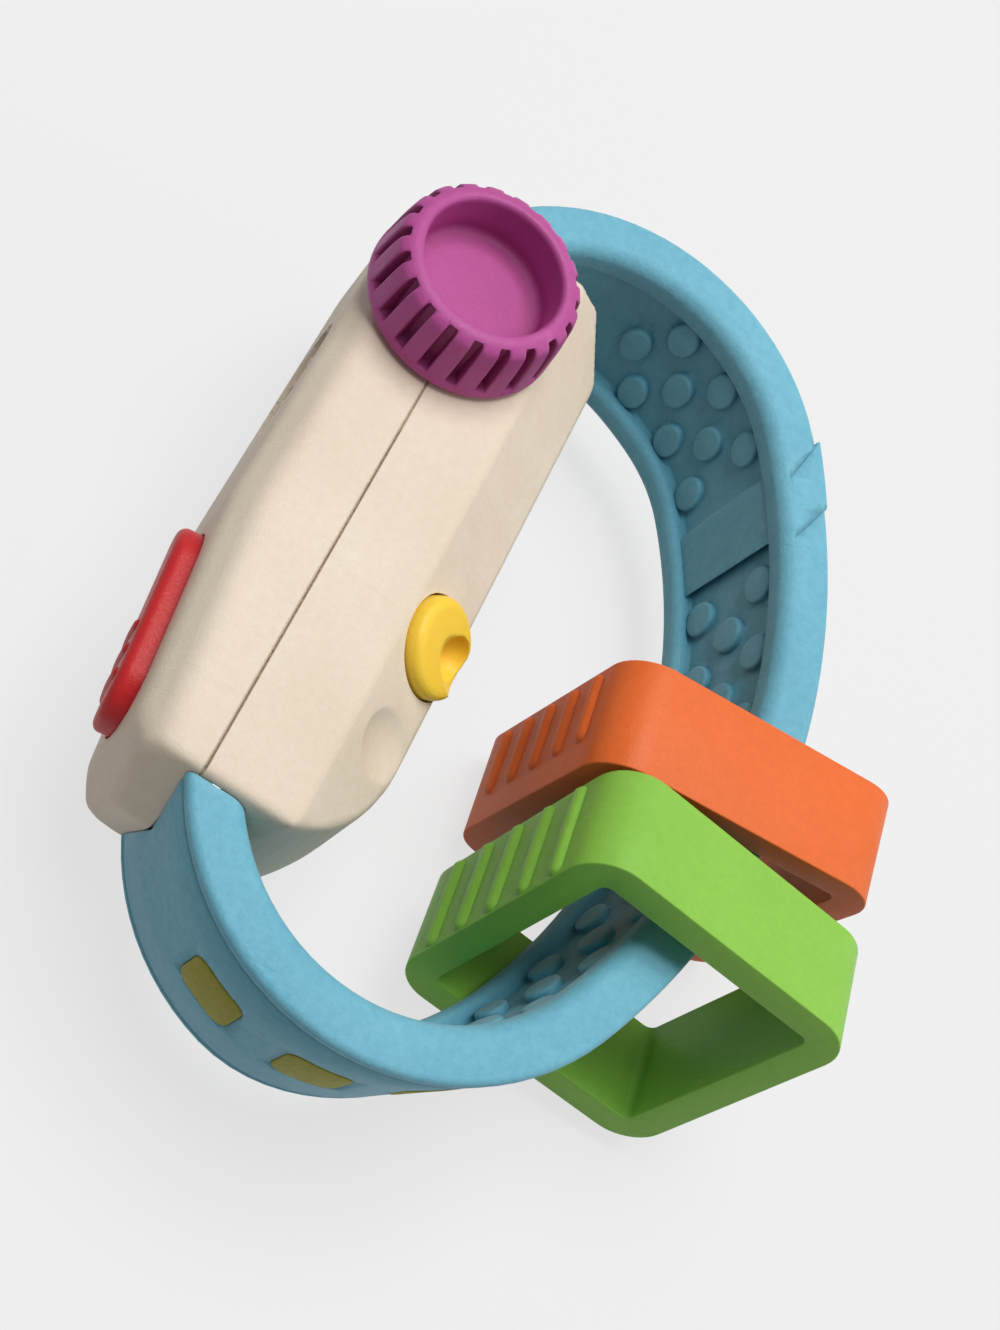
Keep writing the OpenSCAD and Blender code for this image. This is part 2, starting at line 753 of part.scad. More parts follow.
module crown_knob() color([0.67, 0.25, 0.55]) {
  core_r = crown_r - lug_proud;
  lip_z = crown_h - crown_lip_h;
  at_crown() difference() {
    union() {
      rotate_extrude($fn = round_fn) polygon([
        [0, crown_play], [crown_r - lip_edge, crown_play], [crown_r, crown_play + lip_edge],
        [crown_r, flange_h], [core_r, flange_h], [core_r, lip_z], [core_r + lip_proud, lip_z + lip_proud],
        [core_r, crown_h - lip_edge], [cup_r + lip_wall, crown_h], [0, crown_h]]);
      intersection() {
        for (i = [0:lug_count - 1]) rotate(360 * i / lug_count)
          translate([(cup_r + core_r) / 2, -lug_w / 2, flange_h - lip_edge])
            cube([crown_r, lug_w, crown_h - flange_h - lug_drop + lip_edge]);
        cylinder(h = crown_h, r1 = crown_r - lug_inset, r2 = crown_r - lug_inset - lug_lean, $fn = round_fn);
      }
    }
    translate([0, 0, crown_h - cup_depth]) cylinder(h = cup_depth + over, r = cup_r, $fn = round_fn);
    translate([0, 0, -over]) cylinder(h = axle_in_knob + over, r = axle_r, $fn = round_fn);
  }
}

module crown_axle() color("white") {
  at_crown() difference() {
    translate([0, 0, -axle_below]) cylinder(h = axle_below + axle_in_knob, r = axle_r, $fn = round_fn);
    translate([0, 0, -axle_below - over]) cylinder(h = axle_below, r = screw_r, $fn = small_fn);
  }
}

module click_wheel() color("white") {
  translate([-crown_forward, crown_y, click_z]) difference() {
    union() {
      linear_extrude(click_t) polygon(gear_points(click_teeth, click_r, tooth_depth));
      cylinder(h = click_t + click_top, r = axle_r + bush_wall, $fn = round_fn);
    }
    translate([0, 0, -over]) cylinder(h = click_t + click_top + 2 * over, r = axle_r, $fn = round_fn);
  }
}

module crown_screw() color("silver") {
  at_crown() translate([0, 0, -axle_below]) difference() {
    union() {
      translate([0, 0, -washer_t]) cylinder(h = washer_t, r = washer_r, $fn = round_fn);
      cylinder(h = axle_below - 2 * over, r = screw_r, $fn = small_fn);
    }
    for (a = [0, 90]) rotate(a) translate([-washer_r / 2, -screw_r * slot_share, -washer_t - over])
      cube([washer_r, 2 * screw_r * slot_share, over + washer_t / 2]);
  }
}

// Low ribs across the lower part of the red button
red_ribs = 3;
red_rib_pitch = 3.2;
red_edge = 0.8;
red_rib_r = 0.6;
module red_button() color([0.75, 0.13, 0.15]) {
  on_slope() {
    red_plate(-red_edge, -red_proud, 0);
    red_plate(0, red_edge - red_proud, red_stop + flange_t);
    red_plate(red_gap + flange_edge, red_stop, red_stop + flange_t);
    rotate([0, 90, 0]) cylinder(h = red_stop + flange_t + spigot_h, r = spigot_r, $fn = small_fn);
    for (i = [0:red_ribs - 1])
      translate([-red_proud, red_edge + red_corner_r - red_len / 2 + i * red_rib_pitch, 0])
        cylinder(h = red_w - red_corner_r, r = red_rib_r, center = true, $fn = small_fn);
  }
}

module red_button_spring() color("silver") {
  start = red_stop + flange_t;
  on_slope() translate([start, 0, 0]) rotate([0, 90, 0]) coil(red_spring_r, wire_r, 6, red_seat - start);
}

module yellow_button() color([0.96, 0.78, 0.2]) {
  on_yellow() difference() {
    union() {
      translate([0, 0, -yellow_stop - flange_t])
        cylinder(h = yellow_stop + flange_t + yellow_proud - red_edge, r = yellow_r, $fn = round_fn);
      cylinder(h = yellow_proud, r = yellow_r - red_edge, $fn = round_fn);
      translate([0, 0, -yellow_stop - flange_t])
        cylinder(h = flange_t, r = yellow_r + yellow_flange_edge, $fn = round_fn);
    }
    translate([0, 0, yellow_proud + 2 * yellow_r])
      sphere(2 * yellow_r + yellow_proud * yellow_dish_share, $fn = round_fn);
    translate([yellow_r * yellow_hole_share, 0, yellow_proud]) sphere(yellow_hole_r, $fn = small_fn);
  }
}

module yellow_button_spring() color("silver") {
  start = yellow_stop + flange_t;
  on_yellow() mirror([0, 0, 1]) translate([0, 0, start])
    coil(yellow_spring_r, wire_r, 4, yellow_seat - start);
}

module orange_ring() color([0.9, 0.47, 0.25]) at_ring(orange_below, orange_out, orange_up, orange_turn)
  square_ring();

module green_ring() color([0.48, 0.72, 0.27]) at_ring(green_below, green_out, green_up, green_turn)
  square_ring();

front_shell();
back_shell();
case_screws();
dial();
dial_hands();
crown_bush();
click_spring();
strap();
strap_inlays();
strap_pin_top();
strap_pin_bottom();
crown_knob();
crown_axle();
click_wheel();
crown_screw();
red_button();
red_button_spring();
yellow_button();
yellow_button_spring();
orange_ring();
green_ring();
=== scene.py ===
import json
from math import atan2, cos, pi, radians, sin

import bmesh
import bpy
from mathutils import Matrix, Vector


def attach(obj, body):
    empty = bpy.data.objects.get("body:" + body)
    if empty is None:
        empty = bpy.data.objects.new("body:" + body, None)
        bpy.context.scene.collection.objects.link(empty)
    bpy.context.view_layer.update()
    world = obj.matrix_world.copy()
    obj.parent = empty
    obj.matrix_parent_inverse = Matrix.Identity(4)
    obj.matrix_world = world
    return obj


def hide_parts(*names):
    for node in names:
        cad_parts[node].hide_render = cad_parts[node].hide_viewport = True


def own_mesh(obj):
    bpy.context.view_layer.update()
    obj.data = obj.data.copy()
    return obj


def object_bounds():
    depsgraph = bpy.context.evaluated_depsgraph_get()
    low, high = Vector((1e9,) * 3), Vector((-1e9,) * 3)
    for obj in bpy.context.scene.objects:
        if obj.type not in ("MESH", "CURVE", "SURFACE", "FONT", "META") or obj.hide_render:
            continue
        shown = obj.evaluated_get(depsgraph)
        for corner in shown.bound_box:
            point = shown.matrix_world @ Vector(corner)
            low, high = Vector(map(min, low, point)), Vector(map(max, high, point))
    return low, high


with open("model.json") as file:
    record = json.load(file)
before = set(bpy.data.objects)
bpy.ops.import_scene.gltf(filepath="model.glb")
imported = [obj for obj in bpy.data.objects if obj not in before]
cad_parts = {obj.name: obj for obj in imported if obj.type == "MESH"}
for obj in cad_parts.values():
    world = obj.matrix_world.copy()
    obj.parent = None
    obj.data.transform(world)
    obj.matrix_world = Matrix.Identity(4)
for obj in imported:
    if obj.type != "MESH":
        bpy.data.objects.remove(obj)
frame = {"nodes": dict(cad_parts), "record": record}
cad_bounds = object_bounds()
nodes = frame["nodes"]
# The sizes of pieces are given in millimetres, and MM turns them into the frame's metres
MM = 0.001


# Camera: the photograph's place and turn, found from the outlines of case, crown and strap
PHOTO_SIZE = (1000, 1330)
FOCAL_PIXELS = 2000
SENSOR = 36
CAMERA_PLACE = Vector((-21.6, -114.19, 191.93)) * MM
CAMERA_RIGHT = Vector((0.8136, 0.3813, 0.4390))
CAMERA_UP = Vector((-0.5433, 0.7675, 0.3403))
CAMERA_NEAR = 10 * MM
CAMERA_FAR = 20


def make_camera():
    data = bpy.data.cameras.new("camera")
    camera = bpy.data.objects.new("camera", data)
    bpy.context.scene.collection.objects.link(camera)
    data.sensor_width = SENSOR
    data.lens = SENSOR * FOCAL_PIXELS / max(PHOTO_SIZE)
    data.clip_start = CAMERA_NEAR
    data.clip_end = CAMERA_FAR
    back = CAMERA_RIGHT.cross(CAMERA_UP)
    turn = Matrix((CAMERA_RIGHT, CAMERA_UP, back)).transposed()
    camera.matrix_world = Matrix.Translation(CAMERA_PLACE) @ turn.to_4x4()
    bpy.context.scene.camera = camera


# Shader nodes

def new_group(name, inputs, outputs):
    group = bpy.data.node_groups.new(name, "ShaderNodeTree")
    for label, kind, value in inputs:
        socket = group.interface.new_socket(label, in_out="INPUT", socket_type=kind)
        socket.default_value = value
    for label, kind in outputs:
        group.interface.new_socket(label, in_out="OUTPUT", socket_type=kind)
    enter = group.nodes.new("NodeGroupInput")
    leave = group.nodes.new("NodeGroupOutput")
    return group, enter, leave


def math_node(tree, operation, a, b=None, clamp=False):
    node = tree.nodes.new("ShaderNodeMath")
    node.operation = operation
    node.use_clamp = clamp
    for i, value in enumerate((a, b)):
        if value is None:
            continue
        if isinstance(value, (int, float)):
            node.inputs[i].default_value = value
        else:
            tree.links.new(value, node.inputs[i])
    return node.outputs[0]


def times(tree, a, b):
    return math_node(tree, "MULTIPLY", a, b)


def noise_node(tree, vector, scale, detail=4, roughness=0.55):
    node = tree.nodes.new("ShaderNodeTexNoise")
    tree.links.new(vector, node.inputs["Vector"])
    if isinstance(scale, (int, float)):
        node.inputs["Scale"].default_value = scale
    else:
        tree.links.new(scale, node.inputs["Scale"])
    node.inputs["Detail"].default_value = detail
    node.inputs["Roughness"].default_value = roughness
    return node.outputs["Fac"]


def ramp_node(tree, value, low, high):
    node = tree.nodes.new("ShaderNodeMapRange")
    tree.links.new(value, node.inputs["Value"])
    node.inputs["From Min"].default_value = low
    node.inputs["From Max"].default_value = high
    return node.outputs["Result"]


def mix_colour(tree, factor, a, b):
    node = tree.nodes.new("ShaderNodeMix")
    node.data_type = "RGBA"
    for name, value in (("Factor", factor), ("A", a), ("B", b)):
        socket = [s for s in node.inputs if s.name == name and s.enabled][0]
        tree.links.new(value, socket)
    return [s for s in node.outputs if s.enabled][0]


# Stage: a pale floor under the lowest piece, a large soft key lamp above, a fill lamp and a white world
FLOOR_SIZE = 6
FLOOR_GAP = 0.2 * MM
FLOOR_COLOUR = (0.55, 0.55, 0.55, 1)
FLOOR_ROUGHNESS = 0.9
FLOOR_GLOW = 0.7
WORLD_LIGHT = 0.18
KEY_PLACE = Vector((0.03, 0.2, 0.8))
KEY_SIZE = 0.55
KEY_POWER = 5.8
FILL_PLACE = Vector((0.62, 0.1, 0.42))
FILL_SIZE = 0.5
FILL_POWER = 0.9
AIM = Vector((15, 0, 10)) * MM


def area_lamp(name, place, size, power):
    data = bpy.data.lights.new(name, "AREA")
    data.shape = "DISK"
    data.size = size
    data.energy = power
    lamp = bpy.data.objects.new(name, data)
    bpy.context.scene.collection.objects.link(lamp)
    lamp.location = place
    lamp.rotation_euler = (AIM - place).to_track_quat("-Z", "Y").to_euler()


# 1 for a ray that comes from the camera or by way of gloss or glass, and 0 for one that only carries light
def seen_ray(tree):
    path = tree.nodes.new("ShaderNodeLightPath")
    seen = math_node(tree, "ADD", path.outputs["Is Camera Ray"], path.outputs["Is Glossy Ray"])
    return math_node(tree, "ADD", seen, path.outputs["Is Transmission Ray"], clamp=True)


def make_floor():
    bpy.ops.object.select_all(action="DESELECT")
    bpy.ops.mesh.primitive_plane_add(size=FLOOR_SIZE, location=(0, 0, cad_bounds[0][2] - FLOOR_GAP))
    floor = bpy.context.object
    floor.name = "floor"
    material = bpy.data.materials.new("pale_floor")
    material.use_nodes = True
    tree = material.node_tree
    plain = tree.nodes["Principled BSDF"]
    plain.inputs["Base Color"].default_value = FLOOR_COLOUR
    plain.inputs["Roughness"].default_value = FLOOR_ROUGHNESS
    plain.inputs["Specular IOR Level"].default_value = 0
    glow = tree.nodes.new("ShaderNodeEmission")
    glow.inputs["Strength"].default_value = 1
    mix = tree.nodes.new("ShaderNodeMixShader")
    tree.links.new(times(tree, seen_ray(tree), FLOOR_GLOW), mix.inputs[0])
    tree.links.new(plain.outputs[0], mix.inputs[1])
    tree.links.new(glow.outputs[0], mix.inputs[2])
    tree.links.new(mix.outputs[0], tree.nodes["Material Output"].inputs["Surface"])
    floor.data.materials.append(material)


def make_world():
    world = bpy.data.worlds.new("studio")
    bpy.context.scene.world = world
    world.use_nodes = True
    tree = world.node_tree
    back = tree.nodes["Background"]
    back.inputs["Color"].default_value = (1, 1, 1, 1)
    strength = tree.nodes.new("ShaderNodeMix")
    strength.inputs["A"].default_value = WORLD_LIGHT
    strength.inputs["B"].default_value = 1
    tree.links.new(seen_ray(tree), strength.inputs["Factor"])
    tree.links.new(strength.outputs["Result"], back.inputs["Strength"])


# Node groups, each built once; lengths on the surface are in metres, so scales are large

CELL_SHARE = 0.5
FLOW_SCALE = 45
MOTTLE_SCALE = 900
PATCH_SCALE = 260
# Reach and samples of the occlusion that places painted shade in hollows
SHELTER_REACH = 3 * MM
SHELTER_SAMPLES = 6
SCRATCH_RUNS = ((0.4, 9), (1.3, 12), (2.4, 10))


# Fine moulded grain: the even tooth that a spark-eroded mould leaves
def build_grain_group():
    group, enter, leave = new_group(
        "moulded_grain",
        [("Vector", "NodeSocketVector", (0, 0, 0)), ("Scale", "NodeSocketFloat", 2500.0)],
        [("Height", "NodeSocketFloat"), ("Speck", "NodeSocketFloat")])
    fine = noise_node(group, enter.outputs["Vector"], enter.outputs["Scale"], 3, 0.6)
    voronoi = group.nodes.new("ShaderNodeTexVoronoi")
    group.links.new(enter.outputs["Vector"], voronoi.inputs["Vector"])
    group.links.new(enter.outputs["Scale"], voronoi.inputs["Scale"])
    cells = voronoi.outputs["Distance"]
    height = math_node(group, "ADD", fine, times(group, cells, CELL_SHARE))
    group.links.new(height, leave.inputs["Height"])
    group.links.new(ramp_node(group, fine, 0.35, 0.65), leave.inputs["Speck"])
    return group


# Colour that drifts: broad flow marks, small mottling, painted shade in sheltered hollows and wear on
# ridges
def build_tint_group():
    group, enter, leave = new_group(
        "flow_tint_and_painted_shade",
        [("Vector", "NodeSocketVector", (0, 0, 0)), ("Colour", "NodeSocketColor", (1, 1, 1, 1)),
         ("Shade", "NodeSocketColor", (0.5, 0.5, 0.5, 1)), ("Wear", "NodeSocketColor", (1, 1, 1, 1)),
         ("Drift", "NodeSocketFloat", 0.15), ("Mottle", "NodeSocketFloat", 0.1),
         ("Soil", "NodeSocketFloat", 0.3), ("Rub", "NodeSocketFloat", 0.3)],
        [("Colour", "NodeSocketColor"), ("Rubbed", "NodeSocketFloat")])
    vector = enter.outputs["Vector"]
    broad = ramp_node(group, noise_node(group, vector, FLOW_SCALE, 2), 0.3, 0.7)
    small = ramp_node(group, noise_node(group, vector, MOTTLE_SCALE, 5, 0.7), 0.35, 0.65)
    shape = group.nodes.new("ShaderNodeNewGeometry").outputs["Pointiness"]
    ridge = ramp_node(group, shape, 0.52, 0.58)
    # Ambient occlusion finds the sheltered hollows, where the shade colour is painted in as shade
    shelter = group.nodes.new("ShaderNodeAmbientOcclusion")
    shelter.samples = SHELTER_SAMPLES
    shelter.only_local = True
    shelter.inputs["Distance"].default_value = SHELTER_REACH
    hollow = ramp_node(group, shelter.outputs["AO"], 0.95, 0.35)
    patchy = ramp_node(group, noise_node(group, vector, PATCH_SCALE, 4, 0.65), 0.42, 0.62)
    shade = enter.outputs["Shade"]
    colour = mix_colour(group, times(group, broad, enter.outputs["Drift"]), enter.outputs["Colour"], shade)
    colour = mix_colour(group, times(group, small, enter.outputs["Mottle"]), colour, shade)
    # Painted shade: hollows are darkened towards the shade colour
    colour = mix_colour(group, times(group, hollow, enter.outputs["Soil"]), colour, shade)
    rub = times(group, times(group, ridge, patchy), enter.outputs["Rub"])
    colour = mix_colour(group, rub, colour, enter.outputs["Wear"])
    group.links.new(colour, leave.inputs["Colour"])
    group.links.new(rub, leave.inputs["Rubbed"])
    return group


# Short hairline scratches in a few directions: each run has a turn and a stretch
def build_scratch_group():
    group, enter, leave = new_group(
        "hair_scratches",
        [("Vector", "NodeSocketVector", (0, 0, 0)), ("Scale", "NodeSocketFloat", 60.0)],
        [("Mask", "NodeSocketFloat")])
    total = None
    for turn, stretch in SCRATCH_RUNS:
        mapping = group.nodes.new("ShaderNodeMapping")
        group.links.new(enter.outputs["Vector"], mapping.inputs["Vector"])
        mapping.inputs["Rotation"].default_value = (turn, turn * 0.7, turn)
        mapping.inputs["Scale"].default_value = (1, stretch, 1)
        value = noise_node(group, mapping.outputs["Vector"], enter.outputs["Scale"], 2, 0.5)
        line = ramp_node(group, value, 0.71, 0.75)
        total = line if total is None else math_node(group, "MAXIMUM", total, line)
    group.links.new(total, leave.inputs["Mask"])
    return group


GRAIN = build_grain_group()
TINT_AND_SHADE = build_tint_group()
SCRATCHES = build_scratch_group()


def place_group(tree, group, vector, **values):
    node = tree.nodes.new("ShaderNodeGroup")
    node.node_tree = group
    tree.links.new(vector, node.inputs["Vector"])
    for name, value in values.items():
        node.inputs[name].default_value = value
    return node


SPECULAR = 0.28
SCRATCH_SCALE = 60
RUB_GLOSS = 0.15
SCRATCH_DULL = 0.12
SCRATCH_DEPTH = 0.6
SCATTER_COLOURS = (1.0, 0.8, 0.6)
SCATTER_REACH = 1.2 * MM


# One moulded finish: colour drift, painted shade in hollows, grain, scratches and worn edges on a
# Principled shader
def moulded(name, colour, shade, wear, rough=(0.42, 0.55), grain_scale=3200, grain=0.03, drift=0.15,
            mottle=0.1, painted_shade=0.35, rub=0.3, sheen=0.0, scatter=0.0):
    material = bpy.data.materials.new(name)
    material.use_nodes = True
    tree = material.node_tree
    shader = tree.nodes["Principled BSDF"]
    shader.inputs["Specular IOR Level"].default_value = SPECULAR
    vector = tree.nodes.new("ShaderNodeTexCoord").outputs["Object"]
    # The tint darkens sheltered hollows towards the shade colour, as painted shade
    tint = place_group(tree, TINT_AND_SHADE, vector, Colour=(*colour, 1), Shade=(*shade, 1), Wear=(*wear, 1),
                       Drift=drift, Mottle=mottle, Soil=painted_shade, Rub=rub)
    tooth = place_group(tree, GRAIN, vector, Scale=grain_scale)
    lines = place_group(tree, SCRATCHES, vector, Scale=SCRATCH_SCALE).outputs["Mask"]
    tree.links.new(tint.outputs["Colour"], shader.inputs["Base Color"])
    smoothest, roughest = rough
    roughness = math_node(tree, "ADD", times(tree, tooth.outputs["Speck"], roughest - smoothest), smoothest)
    roughness = math_node(tree, "SUBTRACT", roughness, times(tree, tint.outputs["Rubbed"], RUB_GLOSS))
    roughness = math_node(tree, "ADD", roughness, times(tree, lines, SCRATCH_DULL))
    tree.links.new(roughness, shader.inputs["Roughness"])
    height = math_node(tree, "SUBTRACT", tooth.outputs["Height"], times(tree, lines, SCRATCH_DEPTH))
    bump = tree.nodes.new("ShaderNodeBump")
    bump.inputs["Strength"].default_value = 1
    bump.inputs["Distance"].default_value = grain * MM
    tree.links.new(height, bump.inputs["Height"])
    tree.links.new(bump.outputs["Normal"], shader.inputs["Normal"])
    if sheen:
        shader.inputs["Sheen Weight"].default_value = sheen
        shader.inputs["Sheen Roughness"].default_value = 0.5
    if scatter:
        shader.inputs["Subsurface Weight"].default_value = scatter
        shader.inputs["Subsurface Radius"].default_value = SCATTER_COLOURS
        shader.inputs["Subsurface Scale"].default_value = SCATTER_REACH
    return material


STEEL_SHADE = (0.3, 0.29, 0.28, 1)
STEEL_WEAR = (0.9, 0.9, 0.9, 1)
STEEL_SCRATCH_SCALE = 240
STEEL_SCRATCH_DULL = 0.2


# Drawn steel for screws, pins and springs
def steel(name, colour, rough):
    material = bpy.data.materials.new(name)
    material.use_nodes = True
    tree = material.node_tree
    shader = tree.nodes["Principled BSDF"]
    vector = tree.nodes.new("ShaderNodeTexCoord").outputs["Object"]
    # The tint darkens sheltered hollows towards the steel's shade colour, as painted shade
    tint = place_group(tree, TINT_AND_SHADE, vector, Colour=(*colour, 1), Shade=STEEL_SHADE, Wear=STEEL_WEAR,
                       Drift=0.3, Mottle=0.15, Soil=0.3, Rub=0.5)
    lines = place_group(tree, SCRATCHES, vector, Scale=STEEL_SCRATCH_SCALE).outputs["Mask"]
    tree.links.new(tint.outputs["Colour"], shader.inputs["Base Color"])
    shader.inputs["Metallic"].default_value = 1
    roughness = math_node(tree, "ADD", times(tree, lines, STEEL_SCRATCH_DULL), rough)
    tree.links.new(roughness, shader.inputs["Roughness"])
    return material


# A colour as the eye names it, 0 to 255, turned into the linear values that a shader takes
def linear(r, g, b):
    return tuple(((c / 255 + 0.055) / 1.055) ** 2.4 if c > 10 else c / 255 / 12.92 for c in (r, g, b))


# Each material slot's finish: colour, the darker tone that the drift moves towards and that is painted into
# hollows as shade, and the worn colour on ridges
FINISH = {
    "case_plastic": moulded(
        "cream_plastic", linear(235, 221, 201), linear(190, 166, 138), linear(244, 234, 218),
        rough=(0.48, 0.64), grain=0.028, drift=0.25, mottle=0.12, painted_shade=0.35, rub=0.2, scatter=0.12),
    "crown_plastic": moulded(
        "magenta_plastic", linear(186, 82, 152), linear(128, 22, 84), linear(204, 118, 178),
        rough=(0.4, 0.55), drift=0.15, painted_shade=0.7, scatter=0.08),
    "red_plastic": moulded(
        "red_plastic", linear(200, 34, 38), linear(140, 12, 18), linear(218, 80, 78),
        rough=(0.38, 0.5), painted_shade=0.6, scatter=0.05),
    "yellow_plastic": moulded(
        "yellow_plastic", linear(254, 213, 70), linear(246, 178, 30), linear(253, 222, 110),
        rough=(0.36, 0.5), painted_shade=0.45, scatter=0.1),
    "strap_rubber": moulded(
        "blue_rubber", linear(122, 190, 210), linear(28, 122, 152), linear(156, 208, 222),
        rough=(0.5, 0.68), grain_scale=2400, grain=0.045, drift=0.2, mottle=0.2, painted_shade=0.8, rub=0.4,
        sheen=0.15, scatter=0.1),
    "inlay_rubber": moulded(
        "olive_rubber", linear(166, 160, 26), linear(112, 112, 30), linear(186, 180, 50),
        rough=(0.5, 0.65), grain_scale=2400, grain=0.045, drift=0.5, mottle=0.3, painted_shade=0.6),
    "orange_plastic": moulded(
        "orange_plastic", linear(236, 112, 48), linear(160, 52, 8), linear(244, 144, 92),
        rough=(0.42, 0.56), painted_shade=0.7, scatter=0.08),
    "green_plastic": moulded(
        "green_plastic", linear(142, 200, 76), linear(76, 136, 28), linear(168, 214, 118),
        rough=(0.4, 0.54), painted_shade=0.7, scatter=0.1),
    "dial_plastic": moulded(
        "white_plastic", linear(240, 240, 234), linear(200, 198, 190), linear(250, 250, 248),
        rough=(0.25, 0.35)),
    "hand_plastic": moulded(
        "hand_red_plastic", linear(200, 42, 50), linear(140, 16, 24), linear(220, 90, 90),
        rough=(0.3, 0.42)),
    "white_nylon": moulded(
        "natural_nylon", linear(232, 230, 220), linear(190, 186, 172), linear(244, 242, 236),
        rough=(0.4, 0.5), scatter=0.1),
    "screw_steel": steel("zinc_steel", (0.62, 0.62, 0.63), 0.3),
    "spring_steel": steel("spring_steel", (0.55, 0.55, 0.56), 0.25),
}


# Modelling helpers; their sizes are in millimetres

TOUCH = 0.01
CUT_SLACK = 0.0001
WELD = 0.0005
NODE_WELD = 0.001


def only(obj):
    bpy.ops.object.select_all(action="DESELECT")
    obj.select_set(True)
    bpy.context.view_layer.objects.active = obj


def edit(obj):
    only(obj)
    bpy.ops.object.mode_set(mode="EDIT")


def leave_edit():
    bpy.ops.object.mode_set(mode="OBJECT")


# In edit mode: selects exactly the vertices, edges or faces that the test accepts
def pick(obj, kind, test):
    bpy.ops.mesh.select_mode(type=kind)
    bpy.ops.mesh.select_all(action="DESELECT")
    mesh = bmesh.from_edit_mesh(obj.data)
    parts = {"VERT": mesh.verts, "EDGE": mesh.edges, "FACE": mesh.faces}[kind]
    for part in parts:
        if test(part):
            part.select_set(True)
    mesh.select_flush_mode()
    bmesh.update_edit_mesh(obj.data)


# Whether a coordinate in metres lies at a place in millimetres
def at(value, place, slack=TOUCH):
    return abs(value - place * MM) < slack * MM


# Whether an edge runs along an axis, 0 for x to 2 for z, and is longer than a length in millimetres
def runs_along(edge, axis, length):
    return abs(edge.verts[0].co[axis] - edge.verts[1].co[axis]) > length * MM


def apply_place(obj):
    only(obj)
    bpy.ops.object.transform_apply(location=True, rotation=True, scale=True)


def add_block(name, low, high):
    bpy.ops.object.select_all(action="DESELECT")
    bpy.ops.mesh.primitive_cube_add(size=1, location=[(a + b) / 2 * MM for a, b in zip(low, high)])
    obj = bpy.context.object
    obj.name = name
    obj.scale = [(b - a) * MM for a, b in zip(low, high)]
    apply_place(obj)
    return obj


# A flat face standing in the x-z plane
def add_section(name, low_x, high_x, low_z, high_z):
    bpy.ops.object.select_all(action="DESELECT")
    bpy.ops.mesh.primitive_plane_add(size=1, rotation=(pi / 2, 0, 0))
    obj = bpy.context.object
    obj.name = name
    obj.location = ((low_x + high_x) / 2 * MM, 0, (low_z + high_z) / 2 * MM)
    obj.scale = ((high_x - low_x) * MM, (high_z - low_z) * MM, 1)
    apply_place(obj)
    return obj


def add_rod(name, radius, length, place, sides, turn=(0, 0, 0)):
    bpy.ops.object.select_all(action="DESELECT")
    bpy.ops.mesh.primitive_cylinder_add(vertices=sides, radius=radius * MM, depth=length * MM,
                                        location=[c * MM for c in place], rotation=turn)
    obj = bpy.context.object
    obj.name = name
    apply_place(obj)
    return obj


def add_ball(name, radii, place, sides):
    bpy.ops.object.select_all(action="DESELECT")
    bpy.ops.mesh.primitive_uv_sphere_add(segments=sides, ring_count=sides // 2, radius=1,
                                         location=[c * MM for c in place])
    obj = bpy.context.object
    obj.name = name
    obj.scale = [r * MM for r in radii]
    apply_place(obj)
    return obj


# In edit mode: cuts new edges where a plane passes
def cut_across(place, normal):
    bpy.ops.mesh.select_all(action="SELECT")
    bpy.ops.mesh.bisect(plane_co=[c * MM for c in place], plane_no=normal, threshold=CUT_SLACK * MM)


# Cuts a piece into equal lengths along y, so that it can bend
def slice_along(obj, low, high, count):
    edit(obj)
    for step in range(1, count):
        cut_across((0, low + step * (high - low) / count, 0), (0, 1, 0))
    leave_edit()


# In edit mode: rounds what is selected
def round_off(radius, segments, affect="EDGES"):
    bpy.ops.mesh.bevel(offset=radius * MM, offset_type="OFFSET", segments=segments, affect=affect)


# In edit mode: rounds the corners of a section, each at its x and z
def round_corners(obj, radius, segments, places):
    pick(obj, "VERT", lambda v: any(at(v.co.x, x) and at(v.co.z, z) for x, z in places))
    round_off(radius, segments, affect="VERTICES")


def add_modifier(obj, kind, **settings):
    modifier = obj.modifiers.new(kind.lower(), kind)
    for name, value in settings.items():
        setattr(modifier, name, value)
    return modifier


def apply_all(obj):
    only(obj)
    for modifier in list(obj.modifiers):
        bpy.ops.object.modifier_apply(modifier=modifier.name)


# Softens every edge that is sharper than an angle in degrees
def soften(obj, width, segments, sharper_than):
    add_modifier(obj, "BEVEL", width=width * MM, segments=segments, limit_method="ANGLE",
                 angle_limit=radians(sharper_than))
    apply_all(obj)


def combine(obj, other, operation, keep=False):
    add_modifier(obj, "BOOLEAN", operation=operation, object=other, solver="MANIFOLD")
    apply_all(obj)
    if not keep:
        bpy.data.objects.remove(other)


def face_outwards(obj):
    edit(obj)
    bpy.ops.mesh.select_all(action="SELECT")
    bpy.ops.mesh.remove_doubles(threshold=WELD * MM)
    bpy.ops.mesh.normals_make_consistent(inside=False)
    leave_edit()


# A welded copy of a CAD node's mesh
def copy_of(node, name):
    obj = bpy.data.objects.new(name, nodes[node].data.copy())
    bpy.context.scene.collection.objects.link(obj)
    edit(obj)
    bpy.ops.mesh.select_all(action="SELECT")
    bpy.ops.mesh.remove_doubles(threshold=NODE_WELD * MM)
    leave_edit()
    return obj


def join_all(objs):
    bpy.ops.object.select_all(action="DESELECT")
    for obj in objs:
        obj.select_set(True)
    bpy.context.view_layer.objects.active = objs[0]
    bpy.ops.object.join()
    return objs[0]


# Copies a piece to each place, every copy with its own mesh, and joins the copies
def spread(obj, places):
    copies = []
    for place in places:
        twin = obj.copy()
        twin.data = obj.data.copy()
        bpy.context.scene.collection.objects.link(twin)
        twin.location = [c * MM for c in place]
        apply_place(twin)
        copies.append(twin)
    bpy.data.objects.remove(obj)
    return join_all(copies)


def put_at(obj, place):
    obj.matrix_world = place
    apply_place(obj)


